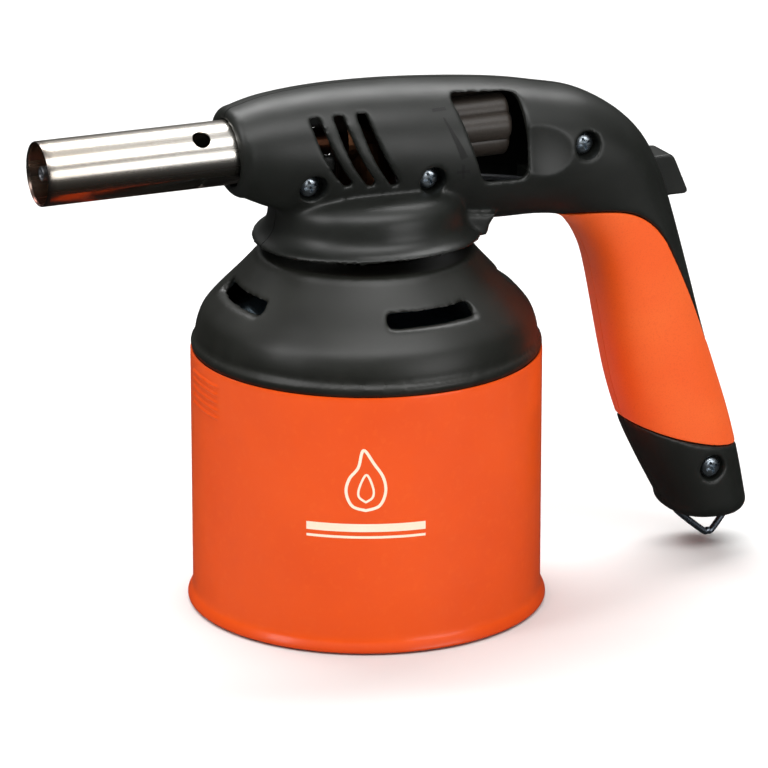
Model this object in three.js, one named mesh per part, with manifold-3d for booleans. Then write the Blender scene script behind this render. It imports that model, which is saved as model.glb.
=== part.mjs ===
// A hand-held gas torch: a pierceable cartridge in a steel cup, a domed cover over it and a
// burner head with a pistol grip that screws down through the cover.
// Millimetres, +Z up. The origin is the centre of the cup's base, the burner points to -X and
// the handle is at +X. Threads are plain cylinders with the pitch left to the joint.
import * as THREE from 'three';
import { mergeVertices } from 'three/addons/utils/BufferGeometryUtils.js';
import { ParametricGeometry } from 'three/addons/geometries/ParametricGeometry.js';
import Module from 'manifold-3d';

const wasm = await Module();
wasm.setup();

// ---- Driving dimensions ----

const GAP = 0.3; // between pieces that touch or are cut to fit each other
const RUNNING = 0.4; // between a moving piece and what it moves in
const PAST = 1; // how far a cutting tool runs past the face it cuts

const CARTRIDGE_RADIUS = 45;
const CARTRIDGE_HEIGHT = 85;
const CARTRIDGE_WALL = 0.5;
const CUP_WALL = 0.7;
const RIM_DROP = 13.5; // the cup's rim is this far below the top of the cartridge's shell
const FOOT_FLARE = 1.4;
const SPIGOT_WALL = 1.2;
const SPIGOT_DEPTH = 7;
const DOME_WALL = 2;
const DOME_BEAD_HEIGHT = 2.6;
const DOME_TOP_RADIUS = 30;
const DOME_HEIGHT = 27;
const DOME_SLOT_HEIGHT = 3.4;
const DOME_SLOT_ARC = 40;
const DOME_SLOT_PLACES = [0, 85, 180, 275]; // degrees round from +X, alike on the left and right
const SKIRT_GAP = 3;
const SKIRT_RADIUS = 31;
const SKIRT_ARCH = 1.6; // the skirt's lower edge rises this much at the sides
const NECK_RADIUS = 26.3;
const NECK_WALL = 2;

const BURNER_RADIUS = 8.63;
const BURNER_WALL = 0.6;
const BURNER_FRONT = -93.1;
const BURNER_BACK = -30;
const BURNER_RISE = 27.7; // burner axis above the skirt's lower edge
const AIR_HOLE_RADIUS = 2.5;
const AIR_HOLE_X = -49.6;
const FLAME_HOLDER_X = -80;
const FLAME_HOLDER_THICKNESS = 3;
const FLAME_PORT_RADIUS = 0.9;
const PILOT_RADIUS = 2;
const PILOT_BORE = 1.4;
const MIXING_RADIUS = 3.8;
const MIXING_BORE = 2.8;
const INSULATOR_RADIUS = 1.4;
const INSULATOR_Y = -5.7;
const INSULATOR_RISE = 1.9; // above the burner's axis
const INSULATOR_BACK = -36;
const ELECTRODE_RADIUS = 0.5;

const BUSH_RADIUS = 17;
const BUSH_FLANGE = 20;
const BUSH_LENGTH = 7;
const BUSH_LEDGE = 3; // thickness of the dome's top, which the bush's flange presses on

const SHELL_WALL = 2.2;
const HANDLE_WALL = 3.4; // the handle carries the grip in a recess, so its wall is thicker
const GRIP_THICKNESS = 1.3;
const NOSE_ROUND = 3;
const HEEL_ROUND = 4;

const VALVE_THREAD_RADIUS = 12.7;
const VALVE_POST_RADIUS = 8;
const SPINDLE_RADIUS = 2;
const SPINDLE_GROOVE = 0.7; // depth of the groove for the knob's clip
const CLIP_RADIUS = 3.4;
const KNOB_RADIUS = 9.6;
const KNOB_FRONT = 21;
const KNOB_LENGTH = 18;
const KNOB_FLUTES = 7;
const KNOB_FLUTE_DEPTH = 1.2;
const KNOB_BEVEL = 1.2;
const NEEDLE_RADIUS = 1.2;
const NEEDLE_BORE = 0.5;
const NEEDLE_SEAT = 7;
const PIERCING_DEPTH = 3.5; // how far the needle reaches into the cartridge
const SEAL_RADIUS = 6.5;
const SEAL_HEIGHT = 3;
const GAS_PASSAGE = 0.9;
const GLAND_RING_RADIUS = 3.4;
const GLAND_RING_LENGTH = 2;
const GLAND_RING_X = 4.6;
const JET_RADIUS = 2.2;
const JET_ORIFICE = 0.25;
const JET_BACK = -5;
const JET_FRONT = -14;

const SCREW_SHANK_RADIUS = 1.4;
const SCREW_HEAD_RADIUS = 2.9;
const SCREW_HEAD_HEIGHT = 2;
const WEB_WALL = 1.2; // half thickness of the web on the parting plane
const BOSS_RADIUS = 3.4;
const BOSS_WALL = 1.4;
const COUNTERBORE_RADIUS = 3.75;

const BUTTON_HEIGHT = 11.6;
const BUTTON_WIDTH = 11;
const BUTTON_TRAVEL = 4;
const BUTTON_RISE = 8.2; // button and piezo unit above the skirt's lower edge
const BUTTON_REACH = 94.2;
const BUTTON_LEAN = 5; // how much further the outer face reaches at its foot than at its top
const BUTTON_FLANGE_X = 77.6;
const PIEZO_FRONT = 47;
const PIEZO_BACK = 69;
const PIEZO_RISE = 2.4; // the unit's underside above the inside of the shell's lowest wall
const PLUNGER_RADIUS = 2.5;
const PLUNGER_INSERT = 7; // length of the plunger inside the piezo unit
const SPRING_RADIUS = 3.7;
const SPRING_WIRE_RADIUS = 0.35;
const SPRING_TURNS = 4;

const LOOP_WIRE_RADIUS = 0.95;
const LOOP_DEPTH = 88.6; // the loop's pivot below the skirt's lower edge
const LOOP_FRONT = 94.4;
const LOOP_REAR = 112.2;
const LOOP_DROP = 10.4;
const LOOP_HOOK = 5.5; // length of each bent-in end
const LEAD_RADIUS = 0.9;
const LEAD_SIDE = 13.2 - SHELL_WALL; // how far to the side the lead passes the valve

// ---- Places worked out from them ----

const CUP_INNER = CARTRIDGE_RADIUS + GAP + SPIGOT_WALL + GAP;
const CUP_RADIUS = CUP_INNER + CUP_WALL;
const CUP_FLOOR = 1;
const CUP_HEIGHT = CARTRIDGE_HEIGHT - RIM_DROP;
const CARTRIDGE_BOTTOM = CUP_FLOOR + GAP;
const CARTRIDGE_TOP = CARTRIDGE_BOTTOM + CARTRIDGE_HEIGHT;
const DOME_BASE = CUP_HEIGHT + GAP;
const DOME_TOP = DOME_BASE + DOME_HEIGHT;
const SKIRT_Z = DOME_TOP + SKIRT_GAP;
const AXIS_Z = SKIRT_Z + BURNER_RISE;
const SEAL_BOTTOM = CARTRIDGE_TOP + GAP;
const VALVE_BOTTOM = SEAL_BOTTOM + SEAL_HEIGHT + GAP;
const KNOB_BACK = KNOB_FRONT + KNOB_LENGTH;
const SPINDLE_END = KNOB_BACK + 3;
const INSULATOR_Z = AXIS_Z + INSULATOR_RISE;
const INSULATOR_FRONT = BURNER_FRONT + 8;
const BUTTON_Z = SKIRT_Z + BUTTON_RISE;
const LOOP_Z = SKIRT_Z - LOOP_DEPTH;

// Mid-plane stations of head and handle, from the nose round to the heel:
// [top x, top z, under x, under z, half thickness, squareness], with z above the skirt's lower
// edge. Squareness is the exponent of the superellipse section: 2 is an ellipse.
const STATIONS = [
  [-38, 39.9, -36.4, 15.2, 13.2, 2.1],
  [-29, 42.0, -28.6, 11.6, 14.8, 2.1],
  [-14, 43.2, -15, 7.4, 16.2, 2.1],
  [4, 43.0, 3, 4.6, 16.8, 2.1],
  [22, 41.7, 20, 2.6, 17.0, 2.1],
  [38, 39.8, 36, 1.6, 17.0, 2.15],
  [50, 37.5, 47, 1.4, 16.6, 2.2],
  [61.4, 34.7, 54.5, 0.4, 16.0, 2.3],
  [71.6, 29.2, 58.9, -2.0, 15.4, 2.4],
  [79.2, 22.0, 61.8, -5.2, 14.9, 2.5],
  [84.5, 12.7, 64.1, -9.0, 14.5, 2.5],
  [87.9, 3.0, 66.1, -13.8, 14.3, 2.5],
  [91.3, -8.2, 67.7, -20.2, 14.2, 2.5],
  [94.6, -19.5, 69.6, -29.8, 14.1, 2.5],
  [99.0, -34.9, 71.8, -41.2, 14.0, 2.5],
  [103.3, -47.5, 74.3, -52.0, 13.9, 2.5],
  [107.8, -61.0, 78.4, -64.2, 13.8, 2.5],
  [111.2, -74.0, 83.8, -75.4, 13.7, 2.5],
  [113.9, -87.8, 90.0, -86.8, 13.5, 2.5],
];
const HANDLE_START = 9; // the station from which the wall is the handle's

// Screws: x, z above the skirt's edge, and how deep the head's seat is sunk
const SCREWS = {
  screw_front: [-20.9, 18.9, 5.6],
  screw_middle: [12.6, 17.9, 5.6],
  screw_rear: [58.5, 22.2, 5.2],
  screw_handle: [99.2, -75.6, 3.2],
};

// ---- Solids from three.js geometry ----

// Turns a closed geometry into a solid, with its faces pointing out.
function solid(geometry) {
  const bare = new THREE.BufferGeometry();
  bare.setAttribute('position', geometry.getAttribute('position'));
  bare.setIndex(geometry.index);
  const merged = mergeVertices(bare, 1e-4);
  const position = merged.getAttribute('position');
  const corner = (i) => new THREE.Vector3().fromBufferAttribute(position, merged.index.getX(i));
  const triangles = [];
  let volume = 0;
  for (let i = 0; i < merged.index.count; i += 3) {
    const [a, b, c] = [0, 1, 2].map((k) => merged.index.getX(i + k));
    if (a === b || b === c || a === c) continue;
    volume += corner(i).dot(corner(i + 1).cross(corner(i + 2)));
    triangles.push([a, b, c]);
  }
  const outward = volume < 0 ? triangles.map(([a, b, c]) => [a, c, b]) : triangles;
  return new wasm.Manifold(new wasm.Mesh({
    numProp: 3,
    vertProperties: Float32Array.from(position.array),
    triVerts: Uint32Array.from(outward.flat()),
  }));
}

// A solid of revolution. The profile lists [radius, place along the axis].
function turned(axis, profile, { segments = 32, x = 0, y = 0, z = 0 } = {}) {
  const closed = [...profile, profile[0]];
  const geometry = new THREE.LatheGeometry(closed.map(([r, s]) => new THREE.Vector2(r, s)), segments);
  if (axis === 'z') geometry.rotateX(Math.PI / 2);
  if (axis === 'x') geometry.rotateZ(-Math.PI / 2);
  return solid(geometry.translate(x, y, z));
}

function rod(axis, radius, from, to, options) {
  return turned(axis, [[0, from], [radius, from], [radius, to], [0, to]], options);
}

function pipe(axis, radius, bore, from, to, options) {
  return turned(axis, [[bore, from], [radius, from], [radius, to], [bore, to]], options);
}

function block(x0, x1, y0, y1, z0, z1) {
  const geometry = new THREE.BoxGeometry(x1 - x0, y1 - y0, z1 - z0);
  return solid(geometry.translate((x0 + x1) / 2, (y0 + y1) / 2, (z0 + z1) / 2));
}

// A shape drawn in x and z, made into a slab between two values of y.
function slab(shape, y0, y1) {
  const geometry = new THREE.ExtrudeGeometry(shape, {
    depth: y1 - y0, bevelEnabled: false, curveSegments: 6,
  });
  return solid(geometry.rotateX(Math.PI / 2).translate(0, y1, 0));
}

// A round wire or tube along a smooth curve through the points.
function wire(points, radius, { sides = 8, steps = 24 } = {}) {
  const places = points.map(([x, y, z]) => new THREE.Vector3(x, y, z));
  const path = new THREE.CatmullRomCurve3(places, false, 'centripetal');
  const ring = [];
  for (let i = 0; i < sides; i += 1) {
    const angle = (2 * Math.PI * i) / sides;
    ring.push(new THREE.Vector2(radius * Math.cos(angle), radius * Math.sin(angle)));
  }
  return solid(new THREE.ExtrudeGeometry(new THREE.Shape(ring), { extrudePath: path, steps }));
}

function roundedPolygon(corners, radius) {
  const shape = new THREE.Shape();
  const count = corners.length;
  corners.forEach((corner, i) => {
    const here = new THREE.Vector2(...corner);
    const [before, after] = [count - 1, 1].map((step) => (
      new THREE.Vector2(...corners[(i + step) % count]).sub(here).setLength(radius).add(here)
    ));
    if (i === 0) shape.moveTo(before.x, before.y);
    else shape.lineTo(before.x, before.y);
    shape.quadraticCurveTo(here.x, here.y, after.x, after.y);
  });
  shape.closePath();
  return shape;
}

// The same closed outline, moved outwards all round by a distance.
function grown(shape, distance) {
  const points = shape.getPoints(6).filter((p, i, all) => p.distanceTo(all[(i + 1) % all.length]) > 1e-6);
  const turn = THREE.ShapeUtils.area(points) > 0 ? 1 : -1;
  const count = points.length;
  return new THREE.Shape(points.map((p, i) => {
    const before = p.clone().sub(points[(i + count - 1) % count]).normalize();
    const after = points[(i + 1) % count].clone().sub(p).normalize();
    const out = new THREE.Vector2(before.y + after.y, -before.x - after.x).multiplyScalar(turn);
    return p.clone().addScaledVector(out, distance / (1 + before.dot(after)));
  }));
}

function smooth(points, divisions) {
  const curve = new THREE.SplineCurve(points.map(([a, b]) => new THREE.Vector2(a, b)));
  return curve.getPoints(divisions).map((p) => [p.x, p.y]);
}

// The same open profile moved sideways by a wall thickness, towards the axis.
function inward(profile, wall) {
  return profile.map(([r, z], i) => {
    const [r0, z0] = profile[Math.max(i - 1, 0)];
    const [r1, z1] = profile[Math.min(i + 1, profile.length - 1)];
    const length = Math.hypot(r1 - r0, z1 - z0);
    return [r - (wall * (z1 - z0)) / length, z + (wall * (r1 - r0)) / length];
  });
}

const union = (solids) => solids.reduce((joined, next) => joined.add(next));

// Cutting curved faces can leave specks of no volume, which are dropped.
const withoutSpecks = (body) => union(body.decompose().filter((piece) => piece.volume() > 0.01));

const torch = new THREE.Group();

function addPart(name, body, [color, roughness, metalness]) {
  const made = body.getMesh();
  const geometry = new THREE.BufferGeometry();
  geometry.setAttribute('position', new THREE.Float32BufferAttribute(made.vertProperties, made.numProp));
  geometry.setIndex([...made.triVerts]);
  geometry.computeVertexNormals();
  const material = new THREE.MeshStandardMaterial({ color, roughness, metalness });
  const mesh = new THREE.Mesh(geometry, material);
  mesh.name = name;
  torch.add(mesh);
}

const BLACK_PLASTIC = ['#2b2c2a', 0.5, 0];
const KNOB_PLASTIC = ['#3a3632', 0.45, 0];
const ORANGE_GRIP = ['#e2602a', 0.6, 0];
const ORANGE_PAINT = ['#e5632c', 0.35, 0];
const STAINLESS = ['#b9b4ad', 0.22, 1];
const ZINC = ['#c8ccd0', 0.3, 1];
const BRASS = ['#b98b45', 0.3, 1];
const STEEL = ['#8d8f92', 0.35, 1];
const RUBBER = ['#161616', 0.8, 0];
const CERAMIC = ['#e9e4d8', 0.4, 0];
const CAN_STEEL = ['#9fb0bd', 0.3, 1];
const LEAD_SLEEVE = ['#5a1f1c', 0.6, 0];

// ---- Cup and cartridge ----

function makeCup() {
  const lip = CUP_HEIGHT;
  const foot = CUP_RADIUS + FOOT_FLARE;
  const cup = turned('z', [
    [0, 0], [CUP_RADIUS - 3, 0], [CUP_RADIUS - 2, 0.4], [foot - 0.5, 0.4], [foot, 1], [foot - 0.1, 1.8],
    [CUP_RADIUS + 0.4, 3.4], [CUP_RADIUS, 5.5], [CUP_RADIUS, lip], [CUP_INNER, lip],
    [CUP_INNER, 5.5], [CUP_INNER - 0.3, CUP_FLOOR], [0, CUP_FLOOR],
  ], { segments: 48 });
  const ribs = [];
  for (const side of [0, 180]) {
    for (let i = 0; i < 5; i += 1) {
      ribs.push(makeCupRib(lip - 12.5 + 2.2 * i, side));
    }
  }
  return union([cup, ...ribs]);
}

// One pressed rib: a short arc that stands slightly proud of the cup's wall.
function makeCupRib(z, side) {
  const proud = 0.45;
  const half = 0.55;
  const ring = turned('z', [
    [CUP_RADIUS - 0.3, -half], [CUP_RADIUS + proud, -half / 2],
    [CUP_RADIUS + proud, half / 2], [CUP_RADIUS - 0.3, half],
  ], { segments: 48, z });
  const edge = side === 0 ? [CUP_RADIUS - 3, CUP_RADIUS + 2] : [-CUP_RADIUS - 2, 3 - CUP_RADIUS];
  return ring.intersect(block(...edge, -9, 9, z - 2, z + 2));
}

function makeCartridge() {
  const top = CARTRIDGE_TOP;
  const bottom = CARTRIDGE_BOTTOM;
  const outer = [
    [CARTRIDGE_RADIUS - 3, bottom], [CARTRIDGE_RADIUS, bottom + 3], [CARTRIDGE_RADIUS, top - 18],
    [CARTRIDGE_RADIUS - 1.2, top - 13], [CARTRIDGE_RADIUS - 5, top - 7.5],
    [CARTRIDGE_RADIUS - 13, top - 2.6], [22, top - 0.6], [12, top],
  ];
  const hole = NEEDLE_RADIUS + RUNNING;
  return turned('z', [
    [0, bottom], ...outer, [hole, top], ...inward([...outer, [hole, top]], CARTRIDGE_WALL).reverse(),
    [0, bottom + CARTRIDGE_WALL],
  ], { segments: 32 });
}

// ---- Domed cover ----

function makeDome() {
  const bead = CUP_RADIUS;
  const body = bead - 1.3;
  const beadTop = DOME_BASE + DOME_BEAD_HEIGHT;
  const drop = body - DOME_TOP_RADIUS;
  const bell = smooth([
    [body, beadTop], [body - 0.1, beadTop + 2.4], [body - 0.9, beadTop + 5.4], [body - 2.3, beadTop + 8.2],
    [body - drop * 0.36, beadTop + 12.2], [body - drop * 0.68, beadTop + 17.4],
    [DOME_TOP_RADIUS, DOME_TOP - 1.4],
  ], 7);
  const spigot = CUP_INNER - GAP;
  const inner = inward(bell, DOME_WALL);
  const shell = turned('z', [
    [spigot, DOME_BASE - SPIGOT_DEPTH], [spigot, DOME_BASE], [bead, DOME_BASE],
    [bead, beadTop - 0.6], [bead - 0.5, beadTop - 0.1], [body, beadTop], ...bell.slice(1),
    [DOME_TOP_RADIUS - 1.4, DOME_TOP], [BUSH_RADIUS + GAP, DOME_TOP],
    [BUSH_RADIUS + GAP, DOME_TOP - BUSH_LEDGE],
    [inner[inner.length - 1][0], DOME_TOP - BUSH_LEDGE], ...inner.slice(1, -1).reverse(),
    [spigot - SPIGOT_WALL, beadTop], [spigot - SPIGOT_WALL, DOME_BASE - SPIGOT_DEPTH],
  ], { segments: 48 });
  return shell.subtract(makeDomeSlots(beadTop));
}

// Four curved slots round the cone, cut straight in.
function makeDomeSlots(beadTop) {
  const z = beadTop + 14.6;
  const half = (DOME_SLOT_ARC * Math.PI) / 360;
  const slots = [];
  for (const place of DOME_SLOT_PLACES) {
    const shape = new THREE.Shape();
    shape.absarc(0, 0, CUP_RADIUS, -half, half, false);
    shape.absarc(0, 0, DOME_TOP_RADIUS, half, -half, true);
    const geometry = new THREE.ExtrudeGeometry(shape, { depth: DOME_SLOT_HEIGHT, bevelEnabled: false });
    slots.push(solid(geometry.rotateZ((place * Math.PI) / 180).translate(0, 0, z - DOME_SLOT_HEIGHT / 2)));
  }
  return union(slots);
}

// Threaded insert, pushed up into the dome from below and held by its flange.
function makeNeckBush() {
  const bore = VALVE_THREAD_RADIUS + GAP;
  return turned('z', [
    [bore, DOME_TOP - BUSH_LENGTH], [BUSH_FLANGE, DOME_TOP - BUSH_LENGTH],
    [BUSH_FLANGE, DOME_TOP - BUSH_LEDGE - GAP],
    [BUSH_RADIUS, DOME_TOP - BUSH_LEDGE - GAP], [BUSH_RADIUS, DOME_TOP - 0.5], [bore, DOME_TOP - 0.5],
  ]);
}

function makeCartridgeSeal() {
  return pipe('z', SEAL_RADIUS, NEEDLE_RADIUS + RUNNING, SEAL_BOTTOM, SEAL_BOTTOM + SEAL_HEIGHT);
}

// ---- Valve ----

function makeValveBody() {
  const body = union([
    turned('z', [
      [0, VALVE_BOTTOM], [VALVE_THREAD_RADIUS - 0.6, VALVE_BOTTOM], [VALVE_THREAD_RADIUS, VALVE_BOTTOM + 0.8],
      [VALVE_THREAD_RADIUS, SKIRT_Z + 1], [VALVE_POST_RADIUS + 2, SKIRT_Z + 1],
      [VALVE_POST_RADIUS + 2, SKIRT_Z + 6],
      [VALVE_POST_RADIUS, SKIRT_Z + 6], [VALVE_POST_RADIUS, AXIS_Z], [0, AXIS_Z],
    ]),
    rod('x', 7, -VALVE_POST_RADIUS, VALVE_POST_RADIUS, { z: AXIS_Z, segments: 32 }),
  ]);
  return body.subtract(union([
    rod('z', NEEDLE_RADIUS + GAP, VALVE_BOTTOM - PAST, VALVE_BOTTOM + NEEDLE_SEAT, { segments: 24 }),
    rod('z', GAS_PASSAGE, VALVE_BOTTOM, AXIS_Z, { segments: 16 }),
    rod('x', SPINDLE_RADIUS + GAP, -1, VALVE_POST_RADIUS + PAST, { z: AXIS_Z, segments: 16 }),
    rod('x', GLAND_RING_RADIUS + GAP, GLAND_RING_X - GAP, VALVE_POST_RADIUS + PAST, {
      z: AXIS_Z, segments: 16,
    }),
    rod('x', GAS_PASSAGE, -VALVE_POST_RADIUS - PAST, 0, { z: AXIS_Z, segments: 16 }),
    rod('x', JET_RADIUS + GAP, -VALVE_POST_RADIUS - PAST, JET_BACK + GAP, { z: AXIS_Z, segments: 16 }),
  ]));
}

function makeNeedle() {
  const tip = CARTRIDGE_TOP - PIERCING_DEPTH;
  return turned('z', [
    [NEEDLE_BORE, tip], [0.8, tip], [NEEDLE_RADIUS, tip + 2.2],
    [NEEDLE_RADIUS, VALVE_BOTTOM + NEEDLE_SEAT - GAP], [NEEDLE_BORE, VALVE_BOTTOM + NEEDLE_SEAT - GAP],
  ], { segments: 24 });
}

function makeGlandRing() {
  return pipe('x', GLAND_RING_RADIUS, SPINDLE_RADIUS + GAP, GLAND_RING_X, GLAND_RING_X + GLAND_RING_LENGTH, {
    z: AXIS_Z, segments: 16,
  });
}

// Six-sided nut that presses the ring onto the spindle.
function makeGlandNut() {
  const from = VALVE_POST_RADIUS + GAP;
  return union([
    pipe('x', GLAND_RING_RADIUS, SPINDLE_RADIUS + GAP, GLAND_RING_X + GLAND_RING_LENGTH + GAP, from + 1, {
      z: AXIS_Z, segments: 16,
    }),
    rod('x', 4.6, from, from + 4, { z: AXIS_Z, segments: 6 }),
  ]).subtract(rod('x', SPINDLE_RADIUS + GAP, 0, from + 5, { z: AXIS_Z, segments: 16 }));
}

function makeJet() {
  return turned('x', [
    [JET_ORIFICE, JET_FRONT], [1.4, JET_FRONT], [JET_RADIUS, JET_FRONT + 1.5],
    [JET_RADIUS, JET_BACK], [JET_ORIFICE, JET_BACK],
  ], { z: AXIS_Z, segments: 16 });
}

function makeSpindle() {
  return turned('x', [
    [0, 0], [SPINDLE_RADIUS, 2.4], [SPINDLE_RADIUS, KNOB_BACK + 1],
    [SPINDLE_RADIUS - SPINDLE_GROOVE, KNOB_BACK + 1], [SPINDLE_RADIUS - SPINDLE_GROOVE, KNOB_BACK + 2],
    [SPINDLE_RADIUS, KNOB_BACK + 2], [SPINDLE_RADIUS, SPINDLE_END], [0, SPINDLE_END],
  ], { z: AXIS_Z, segments: 16 });
}

// Broad rounded lobes round the knob, drawn as one wavy outline.
function makeKnob() {
  const outline = [];
  for (let i = 0; i < KNOB_FLUTES * 10; i += 1) {
    const angle = (2 * Math.PI * i) / (KNOB_FLUTES * 10);
    const radius = KNOB_RADIUS - KNOB_FLUTE_DEPTH * (1 - Math.abs(Math.cos((angle * KNOB_FLUTES) / 2)));
    outline.push(new THREE.Vector2(radius * Math.cos(angle), radius * Math.sin(angle)));
  }
  const shape = new THREE.Shape(outline);
  shape.holes.push(new THREE.Path().absarc(0, 0, SPINDLE_RADIUS + GAP, 0, 2 * Math.PI, true));
  const geometry = new THREE.ExtrudeGeometry(shape, {
    depth: KNOB_LENGTH, bevelEnabled: false, curveSegments: 12,
  });
  const body = solid(geometry.rotateY(Math.PI / 2).translate(KNOB_FRONT, 0, AXIS_Z));
  const round = turned('x', [
    [0, KNOB_FRONT], [KNOB_RADIUS - KNOB_BEVEL, KNOB_FRONT],
    [KNOB_RADIUS + 0.1, KNOB_FRONT + KNOB_BEVEL], [KNOB_RADIUS + 0.1, KNOB_BACK - KNOB_BEVEL],
    [KNOB_RADIUS - KNOB_BEVEL, KNOB_BACK], [0, KNOB_BACK],
  ], { z: AXIS_Z });
  return body.intersect(round);
}

function makeKnobClip() {
  const bore = SPINDLE_RADIUS - SPINDLE_GROOVE + GAP / 2;
  const ring = pipe('x', CLIP_RADIUS, bore, KNOB_BACK + 1.15, KNOB_BACK + 1.85, {
    z: AXIS_Z, segments: 16,
  });
  return ring.subtract(block(KNOB_BACK, SPINDLE_END, -0.8, 0.8, AXIS_Z - 5, AXIS_Z));
}

// ---- Burner ----

function makeBurnerTube() {
  const bore = BURNER_RADIUS - BURNER_WALL;
  const tube = pipe('x', BURNER_RADIUS, bore, BURNER_FRONT, BURNER_BACK, { z: AXIS_Z, segments: 36 });
  const holes = [];
  for (let i = 0; i < 2; i += 1) {
    const geometry = new THREE.CylinderGeometry(AIR_HOLE_RADIUS, AIR_HOLE_RADIUS, 2 * BURNER_RADIUS + 4, 20);
    holes.push(solid(geometry.rotateX(Math.PI / 4 + (i * Math.PI) / 2).translate(AIR_HOLE_X, 0, AXIS_Z)));
  }
  return tube.subtract(union(holes));
}

function makeFlameHolder() {
  const radius = BURNER_RADIUS - BURNER_WALL - GAP;
  const from = FLAME_HOLDER_X;
  const to = FLAME_HOLDER_X + FLAME_HOLDER_THICKNESS;
  const disc = pipe('x', radius, PILOT_RADIUS + GAP, from, to, { z: AXIS_Z, segments: 32 });
  const ports = [rod('x', INSULATOR_RADIUS + GAP, from - PAST, to + PAST, {
    y: INSULATOR_Y, z: INSULATOR_Z, segments: 16,
  })];
  for (let i = 0; i < 9; i += 1) {
    const angle = Math.PI + ((i - 4) * Math.PI) / 5;
    ports.push(rod('x', FLAME_PORT_RADIUS, from - PAST, to + PAST, {
      y: -5.2 * Math.cos(angle), z: AXIS_Z + 5.2 * Math.sin(angle), segments: 10,
    }));
  }
  return disc.subtract(union(ports));
}

function makePilotTube() {
  return pipe('x', PILOT_RADIUS, PILOT_BORE, BURNER_FRONT + 1, FLAME_HOLDER_X + 14, {
    z: AXIS_Z, segments: 16,
  });
}

function makeInsulator() {
  return pipe('x', INSULATOR_RADIUS, ELECTRODE_RADIUS + GAP, INSULATOR_FRONT, INSULATOR_BACK, {
    y: INSULATOR_Y, z: INSULATOR_Z, segments: 16,
  });
}

function makeElectrode() {
  const tip = BURNER_FRONT + 1.6;
  return wire([
    [INSULATOR_BACK + 0.6, INSULATOR_Y, INSULATOR_Z], [-60, INSULATOR_Y, INSULATOR_Z],
    [INSULATOR_FRONT, INSULATOR_Y, INSULATOR_Z], [tip + 1, INSULATOR_Y, INSULATOR_Z + 0.2],
    [tip, INSULATOR_Y + 1, INSULATOR_Z + 1], [tip, -3, AXIS_Z + 2.4],
  ], ELECTRODE_RADIUS, { sides: 8, steps: 20 });
}

function makeMixingTube() {
  return turned('x', [
    [MIXING_BORE, BURNER_BACK - 6], [MIXING_RADIUS, BURNER_BACK - 6], [MIXING_RADIUS, JET_FRONT + 2.4],
    [JET_RADIUS + GAP, JET_FRONT + 2.4], [JET_RADIUS + GAP, JET_FRONT - 1], [MIXING_BORE, JET_FRONT - 2],
  ], { z: AXIS_Z, segments: 32 });
}

// ---- Piezo ignition ----

function makePiezoBody() {
  const boreDepth = PLUNGER_INSERT + BUTTON_TRAVEL + PAST;
  const body = block(PIEZO_FRONT, PIEZO_BACK, -5, 5, SKIRT_Z + SHELL_WALL + PIEZO_RISE, BUTTON_Z + 5);
  return body.subtract(rod('x', PLUNGER_RADIUS + RUNNING, PIEZO_BACK - boreDepth, PIEZO_BACK + PAST, {
    z: BUTTON_Z, segments: 20,
  }));
}

function makePiezoPlunger() {
  return rod('x', PLUNGER_RADIUS, PIEZO_BACK - PLUNGER_INSERT, BUTTON_FLANGE_X - GAP, {
    z: BUTTON_Z, segments: 20,
  });
}

// The return spring round the plunger, one helix of round wire.
function makePiezoSpring() {
  const steps = SPRING_TURNS * 10;
  const from = PIEZO_BACK + SPRING_WIRE_RADIUS + GAP;
  const to = BUTTON_FLANGE_X - SPRING_WIRE_RADIUS - GAP;
  const points = [];
  for (let i = 0; i <= steps; i += 1) {
    const angle = (2 * Math.PI * SPRING_TURNS * i) / steps;
    const along = from + ((to - from) * i) / steps;
    points.push([along, SPRING_RADIUS * Math.cos(angle), BUTTON_Z + SPRING_RADIUS * Math.sin(angle)]);
  }
  return wire(points, SPRING_WIRE_RADIUS, { sides: 6, steps });
}

// The cap's outer face leans like the back of the handle. A flange keeps it in the shell.
function makeButton() {
  const half = BUTTON_HEIGHT / 2;
  const face = roundedPolygon([
    [BUTTON_FLANGE_X + 1, BUTTON_Z - half], [BUTTON_REACH, BUTTON_Z - half],
    [BUTTON_REACH - BUTTON_LEAN, BUTTON_Z + half], [BUTTON_FLANGE_X + 1, BUTTON_Z + half],
  ], 1.6);
  const cap = slab(face, -BUTTON_WIDTH / 2, BUTTON_WIDTH / 2);
  const flange = block(
    BUTTON_FLANGE_X, BUTTON_FLANGE_X + 2, -BUTTON_WIDTH / 2 - 1, BUTTON_WIDTH / 2 + 1,
    BUTTON_Z - half - 1, BUTTON_Z + half - 2,
  );
  return union([cap, flange]);
}

// Lead from the piezo unit, below the knob, round the valve and over the front screw's boss.
function makeIgnitionLead() {
  return wire([
    [PIEZO_FRONT - 2 * GAP, 0, BUTTON_Z + 2], [42, 1.5, BUTTON_Z + 2.6], [34, 4, BUTTON_Z + 3.2],
    [24, 6, BUTTON_Z + 3.2], [16, LEAD_SIDE - 2.4, BUTTON_Z + 2.6], [6, LEAD_SIDE, BUTTON_Z + 2.4],
    [-4, LEAD_SIDE - 1.4, BUTTON_Z + 4.6],
    [-10, 9.2, AXIS_Z - 10], [-15, 9.4, AXIS_Z - 2], [-19, 8.6, AXIS_Z + 3], [-23.5, 5.4, AXIS_Z + 5.6],
    [-26.5, 0.8, AXIS_Z + 6.6], [-29.5, -3.6, AXIS_Z + 5], [-32.4, -5.4, AXIS_Z + 3],
    [INSULATOR_BACK + 1.2, INSULATOR_Y, INSULATOR_Z],
  ], LEAD_RADIUS, { sides: 6, steps: 40 });
}

// ---- Head and handle shells ----

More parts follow.
